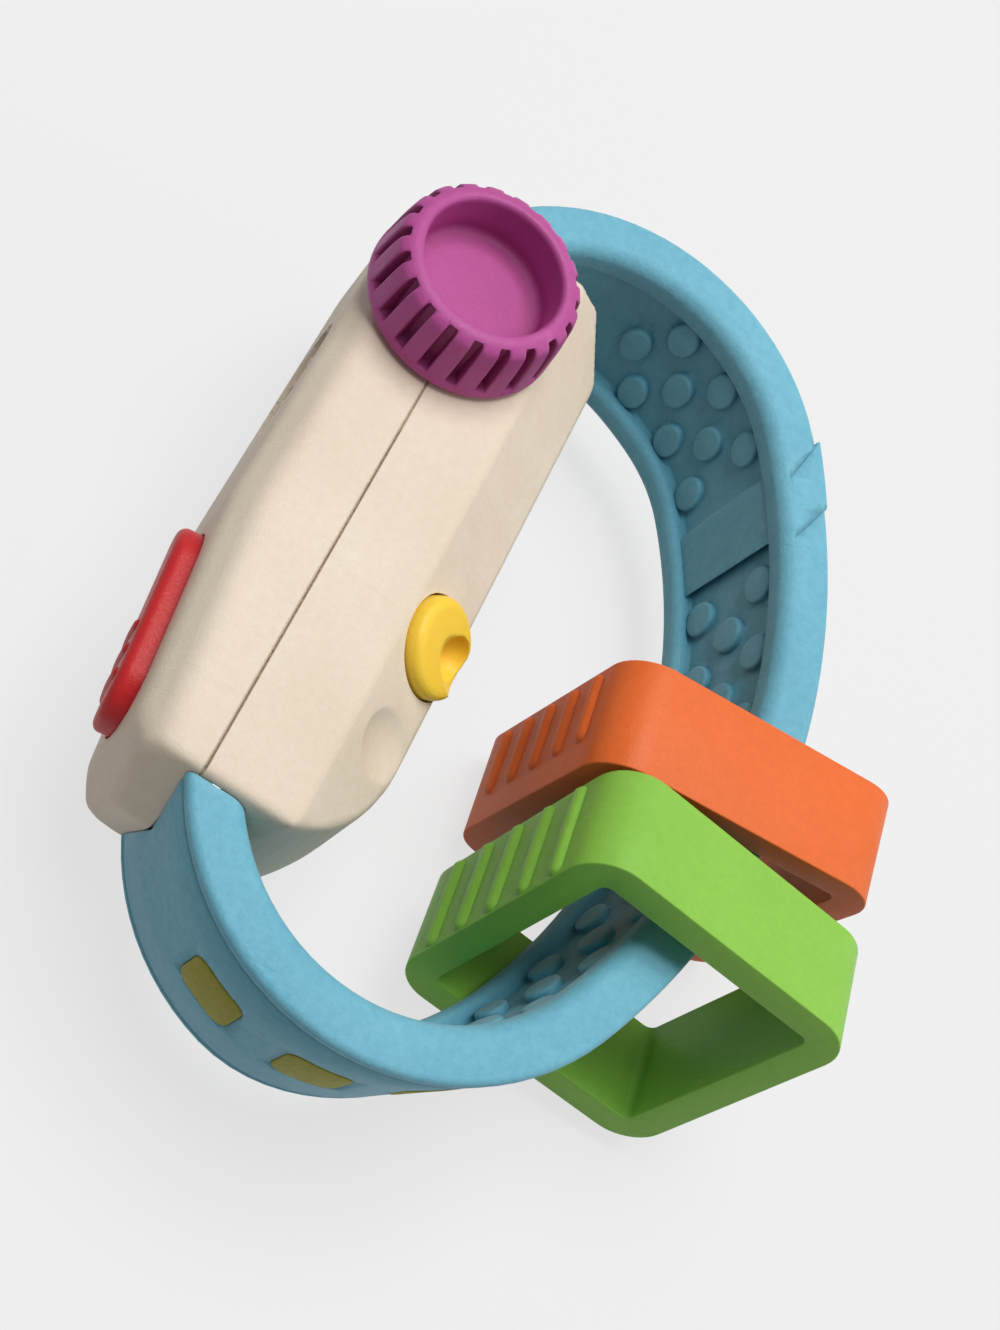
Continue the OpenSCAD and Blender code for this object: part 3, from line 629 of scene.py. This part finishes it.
# Draws a circle up into a lathed wall: each row is a radius and a height on the z axis
def turn_rows(rows, sides):
    bpy.ops.object.select_all(action="DESELECT")
    bpy.ops.mesh.primitive_circle_add(vertices=sides, radius=rows[0][0] * MM, fill_type="NGON",
                                      location=(0, 0, rows[0][1] * MM))
    obj = bpy.context.object
    apply_place(obj)
    bpy.ops.object.mode_set(mode="EDIT")
    bpy.ops.mesh.select_all(action="SELECT")
    for (radius, height), (next_radius, next_height) in zip(rows, rows[1:]):
        bpy.ops.mesh.extrude_region_move(
            TRANSFORM_OT_translate={"value": (0, 0, (next_height - height) * MM)})
        share = next_radius / radius
        bpy.ops.transform.resize(value=(share, share, 1), center_override=(0, 0, 0))
    leave_edit()
    face_outwards(obj)
    return obj


# Smooths, colours and names a piece, and says what it rides on and which node it replaces
def finish_piece(obj, name, slot, body, *replaced, angle=35):
    obj.name = name
    only(obj)
    bpy.ops.object.shade_smooth_by_angle(angle=radians(angle))
    obj.data.materials.clear()
    obj.data.materials.append(FINISH[slot])
    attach(obj, body)
    if replaced:
        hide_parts(*replaced)


# Case shells: the solid's own walls inside a rounded hull, so that every outer crease is soft. The solids'
# edges stand a little apart for the fit, and are drawn together at the seam

HULL_VOXEL = 0.55
HULL_SWELL = 0.02
HULL_FLATNESS = 0.6
HULL_WELD = 0.01
FRONT_SOFTNESS = 26
BACK_SOFTNESS = 9
SOFT_FROM = -2.5
SOFT_TO = -5
FRONT_EDGE = -0.525
BACK_EDGE = -0.275
SEAM_X = -0.4
SEAM_GAP = 0.003
SEAM_GROOVE_HALF = 0.36
SEAM_GROOVE_DEPTH = 0.3
CASE_HALF = 40
CASE_MIDDLE = 12.25
CASE_CREASE = 25


# The convex outline of both shells, swollen a little
def sharp_hull(name, swell):
    data = bpy.data.meshes.new(name)
    mesh = bmesh.new()
    for node in ("front_shell", "back_shell"):
        mesh.from_mesh(nodes[node].data)
    for face in list(mesh.faces):
        mesh.faces.remove(face)
    bmesh.ops.convex_hull(mesh, input=mesh.verts)
    loose = [v for v in mesh.verts if not v.link_faces]
    bmesh.ops.delete(mesh, geom=loose, context="VERTS")
    bmesh.ops.recalc_face_normals(mesh, faces=mesh.faces)
    mesh.to_mesh(data)
    mesh.free()
    obj = bpy.data.objects.new(name, data)
    bpy.context.scene.collection.objects.link(obj)
    edit(obj)
    bpy.ops.mesh.select_all(action="SELECT")
    bpy.ops.mesh.remove_doubles(threshold=HULL_WELD * MM)
    bpy.ops.mesh.dissolve_limited(angle_limit=radians(HULL_FLATNESS))
    bpy.ops.transform.shrink_fatten(value=swell * MM)
    leave_edit()
    return obj


# The hull with soft creases, softer on the dial side, and a groove along the seam
def rounded_hull():
    obj = sharp_hull("hull", HULL_SWELL)
    add_modifier(obj, "REMESH", mode="VOXEL", voxel_size=HULL_VOXEL * MM)
    add_modifier(obj, "SMOOTH", factor=0.5, iterations=BACK_SOFTNESS)
    apply_all(obj)
    front = obj.vertex_groups.new(name="front")
    for vert in obj.data.vertices:
        share = (SOFT_FROM - vert.co.x / MM) / (SOFT_FROM - SOFT_TO)
        front.add([vert.index], min(1, max(0, share)), "REPLACE")
    add_modifier(obj, "SMOOTH", factor=0.5, iterations=FRONT_SOFTNESS, vertex_group="front")
    apply_all(obj)
    obj.vertex_groups.clear()
    edit(obj)
    for step in (-SEAM_GROOVE_HALF, 0, SEAM_GROOVE_HALF):
        cut_across((SEAM_X + step, 0, 0), (1, 0, 0))
    pick(obj, "VERT", lambda v: at(v.co.x, SEAM_X, slack=0.001))
    shrink = (1, 1 - SEAM_GROOVE_DEPTH / CASE_HALF, 1 - SEAM_GROOVE_DEPTH / CASE_MIDDLE)
    bpy.ops.transform.resize(value=shrink, center_override=(SEAM_X * MM, 0, CASE_MIDDLE * MM))
    leave_edit()
    return obj


def make_shells():
    hull = rounded_hull()
    for node, edge_x, closed_x in (("front_shell", FRONT_EDGE, SEAM_X - SEAM_GAP),
                                   ("back_shell", BACK_EDGE, SEAM_X + SEAM_GAP)):
        shell = copy_of(node, node + "_skin")
        edit(shell)
        pick(shell, "VERT", lambda v: at(v.co.x, edge_x))
        bpy.ops.transform.translate(value=((closed_x - edge_x) * MM, 0, 0))
        leave_edit()
        combine(shell, hull, "INTERSECT", keep=True)
        # Weighted normals keep the flat faces flat beside the soft creases
        only(shell)
        bpy.ops.object.shade_smooth_by_angle(angle=radians(CASE_CREASE))
        add_modifier(shell, "WEIGHTED_NORMAL", keep_sharp=True, weight=80)
        finish_piece(shell, node + "_skin", "case_plastic", "watch", node, angle=CASE_CREASE)
        apply_all(shell)
    bpy.data.objects.remove(hull)


# Strap: modelled as a straight bar, y along its outer face and -x into it, then laid round the loop

LOOP_CENTRE = Vector((21.2, -0.5, 0))
LOOP_TURN = radians(3.3)
SIDE_CENTRE = -42.625
SIDE_RADIUS = 76.825
SIDE_ANGLE = radians(31.18)
BEND_CENTRE = 25.8
BEND_RADIUS = 27
BAND_END_ANGLE = radians(161)
SIDE_LENGTH = SIDE_RADIUS * SIDE_ANGLE
BAND_HALF = SIDE_LENGTH + BEND_RADIUS * (BAND_END_ANGLE - SIDE_ANGLE)
BAND_STEPS = 180
BAND_LOW = 1
BAND_HIGH = 23.5
BAND_T = 6.9
RIM_W = 3.6
RECESS = 2.3
OUTER_CORNER = 0.9
RIM_CORNER = 1.7
FAR_LIP_CORNER = 1.1
NEAR_LIP_CORNER = 0.7
RECESS_CORNER = 0.4
EDGE_GROOVE_IN = 1.5
EDGE_GROOVE_HALF = 0.3
EDGE_GROOVE_DEPTH = 0.3
NEAR_RIM_LOWER = 1.0
LEAN = 0.09
LEAN_FULL = (radians(-35), radians(60))
LEAN_NONE = (radians(-110), radians(140))


# Moves each vertex from the straight bar to the loop; the loop narrows a little towards the floor
def lay_on_loop(obj, lean=LEAN):
    turn = Matrix.Rotation(LOOP_TURN, 3, "Z")
    for vert in obj.data.vertices:
        out, along, up = vert.co / MM
        side = 1 if along > 0 else -1
        if abs(along) < SIDE_LENGTH:
            angle = along / SIDE_RADIUS
            centre = Vector((SIDE_CENTRE, 0, 0))
            radius = SIDE_RADIUS + out
        else:
            angle = side * (SIDE_ANGLE + (abs(along) - SIDE_LENGTH) / BEND_RADIUS)
            centre = Vector((0, side * BEND_CENTRE, 0))
            radius = BEND_RADIUS + out
        place = centre + radius * Vector((cos(angle), sin(angle), 0))
        full, none = (LEAN_FULL[0], LEAN_NONE[0]) if angle < 0 else (LEAN_FULL[1], LEAN_NONE[1])
        fade = min(1, max(0, (none - angle) / (none - full)))
        fade = fade * fade * (3 - 2 * fade)
        place *= 1 - lean * fade * (BAND_HIGH - up) / (BAND_HIGH - BAND_LOW)
        place.z = up
        vert.co = (turn @ place + LOOP_CENTRE) * MM


# The band's section, bevelled corner by corner
def draw_section():
    floor_x = RECESS - BAND_T
    near_x = NEAR_RIM_LOWER - BAND_T
    inner_low = BAND_LOW + RIM_W
    inner_high = BAND_HIGH - RIM_W
    band = add_section("band", -BAND_T, 0, BAND_LOW, BAND_HIGH)
    edit(band)
    cut_across((floor_x, 0, 0), (1, 0, 0))
    cut_across((0, 0, inner_low), (0, 0, 1))
    cut_across((0, 0, inner_high), (0, 0, 1))

    def in_recess(face):
        spot = face.calc_center_median() / MM
        return spot.x < floor_x and inner_low < spot.z < inner_high

    def between_corners(vert):
        on_edge = at(vert.co.z, BAND_LOW) or at(vert.co.z, BAND_HIGH)
        return at(vert.co.x, floor_x) and on_edge or at(vert.co.x, 0) and not on_edge
    pick(band, "FACE", in_recess)
    bpy.ops.mesh.delete(type="FACE")
    bpy.ops.mesh.select_all(action="SELECT")
    bpy.ops.mesh.dissolve_faces()
    pick(band, "VERT", between_corners)
    bpy.ops.mesh.dissolve_verts()
    # The rim that faces up stands a little lower than the other
    pick(band, "VERT", lambda v: at(v.co.x, -BAND_T) and v.co.z > CASE_MIDDLE * MM)
    bpy.ops.transform.translate(value=(NEAR_RIM_LOWER * MM, 0, 0))
    round_corners(band, OUTER_CORNER, 4, [(0, BAND_LOW), (0, BAND_HIGH)])
    round_corners(band, RIM_CORNER, 7, [(-BAND_T, BAND_LOW), (near_x, BAND_HIGH)])
    round_corners(band, FAR_LIP_CORNER, 5, [(-BAND_T, inner_low)])
    round_corners(band, NEAR_LIP_CORNER, 4, [(near_x, inner_high)])
    round_corners(band, RECESS_CORNER, 3, [(floor_x, inner_low), (floor_x, inner_high)])
    # A fine groove runs along both edges of the outer face
    for groove in (BAND_LOW + EDGE_GROOVE_IN, BAND_HIGH - EDGE_GROOVE_IN):
        for step in (-EDGE_GROOVE_HALF, 0, EDGE_GROOVE_HALF):
            cut_across((0, 0, groove + step), (0, 0, 1))
        pick(band, "VERT", lambda v: at(v.co.x, 0) and at(v.co.z, groove))
        bpy.ops.transform.translate(value=(-EDGE_GROOVE_DEPTH * MM, 0, 0))
    # Lines beside the inlays' pockets keep the wear of their edges narrow
    for side in (-1, 1):
        cut_across((0, 0, CASE_MIDDLE + side * (INLAY_HALF + POCKET_MARGIN)), (0, 0, 1))
    bpy.ops.mesh.select_all(action="SELECT")
    bpy.ops.mesh.dissolve_faces()
    leave_edit()
    return band


# The whole bar: its section drawn out and cut into steps, so that it can bend
def make_band():
    band = draw_section()
    edit(band)
    bpy.ops.mesh.select_all(action="SELECT")
    bpy.ops.transform.translate(value=(0, -BAND_HALF * MM, 0))
    bpy.ops.mesh.extrude_region_move(TRANSFORM_OT_translate={"value": (0, 2 * BAND_HALF * MM, 0)})
    pick(band, "EDGE", lambda e: runs_along(e, 1, BAND_HALF))
    bpy.ops.mesh.subdivide(number_cuts=BAND_STEPS)
    leave_edit()
    face_outwards(band)
    return band


# Keeper: a raised band round the strap whose ends slant from the outer face to the inner one
KEEPER_FROM = 32.2
KEEPER_TO = 40.6
KEEPER_ROOT = -3
KEEPER_PROUD = 0.6
KEEPER_PROUD_LOW = 0.15
KEEPER_SOFT = 0.35
KEEPER_SLANT = 1.05
KEEPER_SLICES = 8
BRIDGE_FROM = 34
BRIDGE_TO = 43
BRIDGE_X = -5.65
BRIDGE_ROOT = -3.5
BRIDGE_IN = 2
LINE_HALF = 0.14
LINE_X = (-5, 2)
LINES_ALONG = (KEEPER_FROM + 0.3, KEEPER_TO - 0.1)


# Slants a piece along the strap: what lies deeper sits further down
def slant(obj):
    for vert in obj.data.vertices:
        vert.co.y += KEEPER_SLANT * vert.co.x


def make_keeper():
    outer = add_block("keeper", (KEEPER_ROOT, KEEPER_FROM, BAND_LOW), (KEEPER_PROUD, KEEPER_TO, BAND_HIGH))
    edit(outer)
    pick(outer, "VERT", lambda v: at(v.co.x, KEEPER_PROUD) and at(v.co.y, KEEPER_FROM))
    bpy.ops.transform.translate(value=((KEEPER_PROUD_LOW - KEEPER_PROUD) * MM, 0, 0))
    leave_edit()
    slice_along(outer, KEEPER_FROM, KEEPER_TO, KEEPER_SLICES)
    inner = add_block("bridge", (BRIDGE_X, BRIDGE_FROM, BAND_LOW + BRIDGE_IN),
                      (BRIDGE_ROOT, BRIDGE_TO, BAND_HIGH - BRIDGE_IN))
    slice_along(inner, BRIDGE_FROM, BRIDGE_TO, KEEPER_SLICES)
    keeper = join_all([outer, inner])
    soften(keeper, KEEPER_SOFT, 3, sharper_than=50)
    slant(keeper)
    return keeper


# Fine slanted lines on the two edges, where the keeper's ends lie
def keeper_lines():
    lines = []
    for along in LINES_ALONG:
        for up in (BAND_LOW, BAND_HIGH):
            lines.append(add_block("line", (LINE_X[0], along - LINE_HALF, up - LINE_HALF),
                                   (LINE_X[1], along + LINE_HALF, up + LINE_HALF)))
    lines = join_all(lines)
    slant(lines)
    return lines


# Gum bumps: one low round button, copied in rows of two and one along the recess, but not under the keeper
BUMP_R = 2.4
BUMP_H = 0.9
BUMP_ROOT = 0.6
BUMP_SOFT = 0.4
BUMP_SIDES = 24
BUMP_PITCH = 9.6
BUMP_SINGLE = 19
BUMP_PAIR = 23.8
BUMP_SIDE = 5.4
BUMP_ROWS = 10
BUMP_LAST = 69
BUMP_FREE = (24.5, 39.5)


def make_bumps():
    recess_x = RECESS - BAND_T
    middle = recess_x + (BUMP_ROOT - BUMP_H) / 2
    bump = add_rod("bump", BUMP_R, BUMP_ROOT + BUMP_H, (middle, 0, CASE_MIDDLE), BUMP_SIDES, (0, pi / 2, 0))
    edit(bump)
    pick(bump, "FACE", lambda f: f.normal.x < -0.9)
    round_off(BUMP_SOFT, 3)
    leave_edit()
    places = []
    for step in range(-BUMP_ROWS, BUMP_ROWS + 1):
        for start, ups in ((BUMP_SINGLE, (0,)), (BUMP_PAIR, (-BUMP_SIDE, BUMP_SIDE))):
            along = start + step * BUMP_PITCH
            if abs(along) < BUMP_LAST and not BUMP_FREE[0] < along < BUMP_FREE[1]:
                places += [(0, along, up) for up in ups]
    return spread(bump, places)


# Inlays: soft squares let into the outer face of the lower bend
INLAY_HALF = 3.6
INLAY_T = 1
INLAY_PROUD = 0.12
INLAY_CORNER = 1.6
INLAY_SOFT = 0.2
INLAY_FIT = 0.04
POCKET_MARGIN = 0.5
INLAY_SLICES = 12
INLAY_FIRST = radians(4.4)
INLAY_STEP = radians(27)
INLAY_COUNT = 4


# Four squares on the straight bar, grown a little for the pockets and shrunk for the inlays
def inlay_row(name, grow, top, soft=0):
    half = INLAY_HALF + grow
    block = add_block(name, (-INLAY_T, -half, CASE_MIDDLE - half), (top, half, CASE_MIDDLE + half))
    edit(block)
    pick(block, "EDGE", lambda e: runs_along(e, 0, INLAY_T / 2))
    round_off(INLAY_CORNER, 5)
    leave_edit()
    slice_along(block, -half, half, INLAY_SLICES)
    if soft:
        soften(block, soft, 3, sharper_than=60)
    places = []
    for i in range(INLAY_COUNT):
        places.append((0, -SIDE_LENGTH - BEND_RADIUS * (INLAY_FIRST + i * INLAY_STEP), 0))
    return spread(block, places)


def make_inlays():
    inlays = inlay_row("inlay", -INLAY_FIT, INLAY_PROUD, soft=INLAY_SOFT)
    lay_on_loop(inlays)
    finish_piece(inlays, "strap_inlays_soft", "inlay_rubber", "watch", "strap_inlays", angle=45)


# Tongues: the band's thinner ends, which run into the case and hang on its pins
TONGUE_X = (-5.7, -1.2)
TONGUE_Z = (3.75, 20.75)
TONGUE_FROM = radians(146)
TONGUE_TOP_ANGLE = radians(163)
TONGUE_LOW_ANGLE = radians(165)
TONGUE_SLICES = 12
PIN_SLIP = 0.15
CASE_ROOM = 0.15


def make_tongue(pin, end_angle, side):
    start = SIDE_LENGTH + BEND_RADIUS * (TONGUE_FROM - SIDE_ANGLE)
    end = SIDE_LENGTH + BEND_RADIUS * (end_angle - SIDE_ANGLE)
    low, high = sorted((side * start, side * end))
    tongue = add_block("tongue", (TONGUE_X[0], low, TONGUE_Z[0]), (TONGUE_X[1], high, TONGUE_Z[1]))
    slice_along(tongue, low, high, TONGUE_SLICES)
    lay_on_loop(tongue, lean=0)
    face_outwards(tongue)
    bore = copy_of(pin, "bore")
    edit(bore)
    bpy.ops.mesh.select_all(action="SELECT")
    bpy.ops.transform.shrink_fatten(value=PIN_SLIP * MM)
    leave_edit()
    combine(tongue, bore, "DIFFERENCE")
    return tongue


def make_strap():
    band = make_band()
    combine(band, make_keeper(), "UNION")
    combine(band, keeper_lines(), "DIFFERENCE")
    combine(band, make_bumps(), "UNION")
    combine(band, inlay_row("pocket", INLAY_FIT, INLAY_T), "DIFFERENCE")
    lay_on_loop(band)
    face_outwards(band)
    combine(band, sharp_hull("case_room", CASE_ROOM), "DIFFERENCE")
    combine(band, make_tongue("strap_pin_top", TONGUE_TOP_ANGLE, 1), "UNION")
    combine(band, make_tongue("strap_pin_bottom", TONGUE_LOW_ANGLE, -1), "UNION")
    finish_piece(band, "strap_skin", "strap_rubber", "watch", "strap")
    make_inlays()


# Crown: a lathed cone with a soft lip and a deep cup, and slots pressed into its wall between the lugs

CROWN_PLACE = Matrix.Translation(Vector((-1.4, 24.3, 24.5)) * MM)
CROWN_SIDES = 160
LUG_COLUMNS = 5
SLOT_COLUMNS = 3
SLOT_R = 9.2
SLOT_LOW = 1.8
SLOT_HIGH = 8.55
LUG_SOFT = 0.36
CROWN_UNDERSIDE = ((3, 1.9), (3, 0.35), (10.5, 0.35))
CROWN_FLANGE = ((10.95, 0.5), (11.17, 0.85), (11.17, 1.3), (11.1, SLOT_LOW))
CROWN_CONE = ((11.0, 3.2), (10.88, 4.7), (10.72, 6.1), (10.57, 7.1), (10.42, 7.8), (10.15, 8.25),
              (9.75, SLOT_HIGH))
CROWN_LIP = ((9.4, 8.74), (9.0, 8.88), (8.4, 8.93), (8.15, 8.8), (7.98, 8.55), (7.9, 8.2))
CROWN_CUP = ((7.88, 4.3), (7.75, 3.85), (7.45, 3.55), (7.0, 3.42), (6.2, 3.4))


def make_crown():
    rows = CROWN_UNDERSIDE + CROWN_FLANGE + CROWN_CONE + CROWN_LIP + CROWN_CUP
    crown = turn_rows(rows, CROWN_SIDES)
    edit(crown)
    turn = 2 * pi / CROWN_SIDES

    def in_slot(face):
        spot = face.calc_center_median() / MM
        column = int((atan2(spot.y, spot.x) % (2 * pi)) / turn) % (LUG_COLUMNS + SLOT_COLUMNS)
        outer = Vector((spot.x, spot.y)).length > SLOT_R
        return outer and SLOT_LOW < spot.z < SLOT_HIGH and column >= LUG_COLUMNS
    pick(crown, "FACE", in_slot)
    bpy.ops.mesh.extrude_region_move()
    leave_edit()
    # The faces that were drawn out move in to the slots' floor
    for vert in crown.data.vertices:
        if vert.select:
            share = SLOT_R * MM / Vector((vert.co.x, vert.co.y)).length
            vert.co.x *= share
            vert.co.y *= share
    soften(crown, LUG_SOFT, 3, sharper_than=38)
    put_at(crown, CROWN_PLACE)
    finish_piece(crown, "crown_skin", "crown_plastic", "crown", "crown_knob", angle=50)


# Rings: a soft square frame with raised ribs along two of its sides

RING_SIDE = 35.5
RING_OPENING = 28
RING_LEN = 12.5
RING_CORNER = 5
RING_INNER_CORNER = 1
RING_RIM = 0.9
RIB_R = 1.3
RIB_PROUD = 0.6
RIB_PITCH = 5.1
RIB_COUNT = 5
RIB_SIDES = 28
RIB_END = 1
MIDDLE_RADIUS = SIDE_RADIUS - BAND_T / 2
# How far below the loop's middle a ring hangs, how far out and up, and its small turns in degrees
ORANGE_PLACE = (7.4, -2.8, -2.2, (0.7, 2, 9.1))
GREEN_PLACE = (25.75, 1.4, -0.1, (-13, 7.2, 15.7))
# Where the ribs start and end across a ring
ORANGE_RIBS = (-5.85, 2.75)
GREEN_RIBS = (-6.05, 6.05)


def ring_place(below, out, up, turns):
    place = Matrix.Translation(LOOP_CENTRE * MM) @ Matrix.Rotation(LOOP_TURN, 4, "Z")
    place = place @ Matrix.Translation(Vector((SIDE_CENTRE, 0, CASE_MIDDLE + up)) * MM)
    place = place @ Matrix.Rotation(-below / MIDDLE_RADIUS, 4, "Z")
    place = place @ Matrix.Translation(Vector((MIDDLE_RADIUS + out, 0, 0)) * MM)
    for angle, axis in zip(reversed(turns), "ZYX"):
        place = place @ Matrix.Rotation(radians(angle), 4, axis)
    return place @ Matrix.Rotation(pi / 2, 4, "X")


def square_bar(name, side, length, corner, segments):
    bar = add_block(name, (-side / 2, -side / 2, -length / 2), (side / 2, side / 2, length / 2))
    edit(bar)
    pick(bar, "EDGE", lambda e: runs_along(e, 2, length / 2))
    round_off(corner, segments)
    leave_edit()
    return bar


def ring_ribs(low, high):
    rib = add_rod("rib", RIB_R, high - low, (0, 0, (low + high) / 2), RIB_SIDES)
    edit(rib)
    pick(rib, "FACE", lambda f: abs(f.normal.z) > 0.9)
    round_off(RIB_END, 4)
    leave_edit()
    out = RING_SIDE / 2 + RIB_PROUD - RIB_R
    places = []
    for side in (-1, 1):
        for i in range(RIB_COUNT):
            places.append((side * out, (i - (RIB_COUNT - 1) / 2) * RIB_PITCH, 0))
    return spread(rib, places)


def make_ring(node, slot, body, place, ribs):
    ring = square_bar("ring", RING_SIDE, RING_LEN, RING_CORNER, 10)
    combine(ring, square_bar("opening", RING_OPENING, 2 * RING_LEN, RING_INNER_CORNER, 4), "DIFFERENCE")
    soften(ring, RING_RIM, 4, sharper_than=60)
    combine(ring, ring_ribs(*ribs), "UNION")
    put_at(ring, ring_place(*place))
    face_outwards(ring)
    finish_piece(ring, node + "_skin", slot, body, node)


# Red button: a long soft plate that rolls off towards the lower side, with a hidden flange and spigot

SLOPE_PLACE = (Matrix.Translation(Vector((-11.6, -9, CASE_MIDDLE)) * MM)
               @ Matrix.Rotation(radians(7.289), 4, "Z") @ Matrix.Translation(Vector((0, -13.416, 0)) * MM))
RED_HALF_LEN = 11.4
RED_HALF_W = 5.75
RED_CORNER = 5
RED_TOP = -2.5
RED_TOP_SOFT = 1.1
RED_STEP = 3.6
RED_BACK = 4.8
RED_OVERLAP = 0.3
RED_FLANGE = 1.2
RED_ROLL = 1.1
RED_SLICE = 1.2
RED_RIBS = (-7.2, -4.4, -1.6)
RED_RIB_R = 0.8
RED_RIB_LEN = 8
RED_RIB_SUNK = 0.42
RED_RIB_END = 0.6
RED_RIB_SIDES = 24
SPIGOT_R = 2.2
SPIGOT_LEN = 3
SPIGOT_X = 5.7
SPIGOT_SIDES = 32


def red_block(name, low, high, half_len, half_w):
    block = add_block(name, (low, -half_len, -half_w), (high, half_len, half_w))
    edit(block)
    pick(block, "EDGE", lambda e: runs_along(e, 0, 0.5))
    round_off(RED_CORNER, 10)
    leave_edit()
    return block


def red_rib(along):
    rib = add_rod("rib", RED_RIB_R, RED_RIB_LEN, (RED_TOP + RED_RIB_SUNK, along, 0), RED_RIB_SIDES)
    edit(rib)
    pick(rib, "FACE", lambda f: abs(f.normal.z) > 0.9)
    round_off(RED_RIB_END, 4)
    for step in range(-3, 4):
        cut_across((0, 0, step), (0, 0, 1))
    leave_edit()
    return rib


def make_red_button():
    plate = red_block("red_plate", RED_TOP, RED_STEP + RED_OVERLAP, RED_HALF_LEN, RED_HALF_W)
    edit(plate)
    pick(plate, "FACE", lambda f: f.normal.x < -0.9)
    round_off(RED_TOP_SOFT, 5)
    for step in range(-4, 5):
        cut_across((0, 0, step * RED_SLICE), (0, 0, 1))
    leave_edit()
    for along in RED_RIBS:
        combine(plate, red_rib(along), "UNION")
    # The face rolls off towards the side that lies on the floor
    for vert in plate.data.vertices:
        if vert.co.x < 0:
            down = max(0, RED_HALF_W * MM - vert.co.z) / (2 * RED_HALF_W * MM)
            vert.co.x += RED_ROLL * MM * down * down * (vert.co.x / (RED_TOP * MM))
    flange = red_block("red_flange", RED_STEP, RED_BACK, RED_HALF_LEN + RED_FLANGE, RED_HALF_W + RED_FLANGE)
    combine(plate, flange, "UNION")
    spigot = add_rod("spigot", SPIGOT_R, SPIGOT_LEN, (SPIGOT_X, 0, 0), SPIGOT_SIDES, (0, pi / 2, 0))
    combine(plate, spigot, "UNION")
    put_at(plate, SLOPE_PLACE)
    face_outwards(plate)
    finish_piece(plate, "red_button_skin", "red_plastic", "red_key", "red_button")


# Yellow button: a lathed knob with a thumb groove and a round pit, worn soft all over

YELLOW_PLACE = (Matrix.Translation(Vector((9.4, -10.5, 24.5)) * MM)
                @ Matrix.Rotation(radians(41.19), 4, "Y") @ Matrix.Translation(Vector((6.378, 0, 0)) * MM))
YELLOW_BACK = -7.2
YELLOW_ROWS = ((6.3, YELLOW_BACK), (6.3, -6), (5.4, -5.8), (5.4, 0.6), (5.25, 1.1), (4.9, 1.45), (4.4, 1.6),
               (3, 1.66))
YELLOW_SIDES = 72
YELLOW_VOXEL = 0.16
YELLOW_SMOOTHING = 6
GROOVE_RADII = (8, 4.6, 6)
GROOVE_AT = (4.18, 0, 6.1)
PIT_R = 2.5
PIT_AT = (2.6, 0.7, 1.3)


def make_yellow_button():
    knob = turn_rows(YELLOW_ROWS, YELLOW_SIDES)
    combine(knob, add_ball("groove", GROOVE_RADII, GROOVE_AT, 64), "DIFFERENCE")
    combine(knob, add_ball("pit", (PIT_R, PIT_R, PIT_R), PIT_AT, 48), "DIFFERENCE")
    add_modifier(knob, "REMESH", mode="VOXEL", voxel_size=YELLOW_VOXEL * MM)
    add_modifier(knob, "SMOOTH", factor=0.5, iterations=YELLOW_SMOOTHING)
    apply_all(knob)
    put_at(knob, YELLOW_PLACE)
    finish_piece(knob, "yellow_button_skin", "yellow_plastic", "yellow_key", "yellow_button", angle=60)


# Springs: each is a copy of its CAD node with the spring steel finish. A row holds the node, the joint, the
# button's frame, the way inwards, and the button's back, the spring's seat and the travel along it; only
# the node is used

SPRINGS = (
    ("red_button_spring", "red_press", SLOPE_PLACE, Vector((1, 0, 0)), RED_BACK, 14.5, 1.8),
    ("yellow_button_spring", "yellow_press", YELLOW_PLACE, Vector((0, 0, -1)), -YELLOW_BACK, 13, 1.5),
)


def make_springs():
    for node, joint, place, inwards, button_end, seat, travel in SPRINGS:
        spring = copy_of(node, node + "_soft")
        finish_piece(spring, node + "_soft", "spring_steel", "watch", node, angle=60)
        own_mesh(spring)


# Gives every CAD node the finish of its material slot
def dress_nodes():
    slots = {row["node"]: row["material_slot"] for row in frame["record"]["subparts"]}
    for node, obj in nodes.items():
        obj.data.materials.clear()
        obj.data.materials.append(FINISH[slots[node]])


make_camera()
area_lamp("key_lamp", KEY_PLACE, KEY_SIZE, KEY_POWER)
area_lamp("fill_lamp", FILL_PLACE, FILL_SIZE, FILL_POWER)
make_floor()
make_world()
bpy.context.scene.view_settings.view_transform = "Standard"

dress_nodes()
make_shells()
make_strap()
make_crown()
make_ring("orange_ring", "orange_plastic", "orange", ORANGE_PLACE, ORANGE_RIBS)
make_ring("green_ring", "green_plastic", "green", GREEN_PLACE, GREEN_RIBS)
make_red_button()
make_yellow_button()
make_springs()
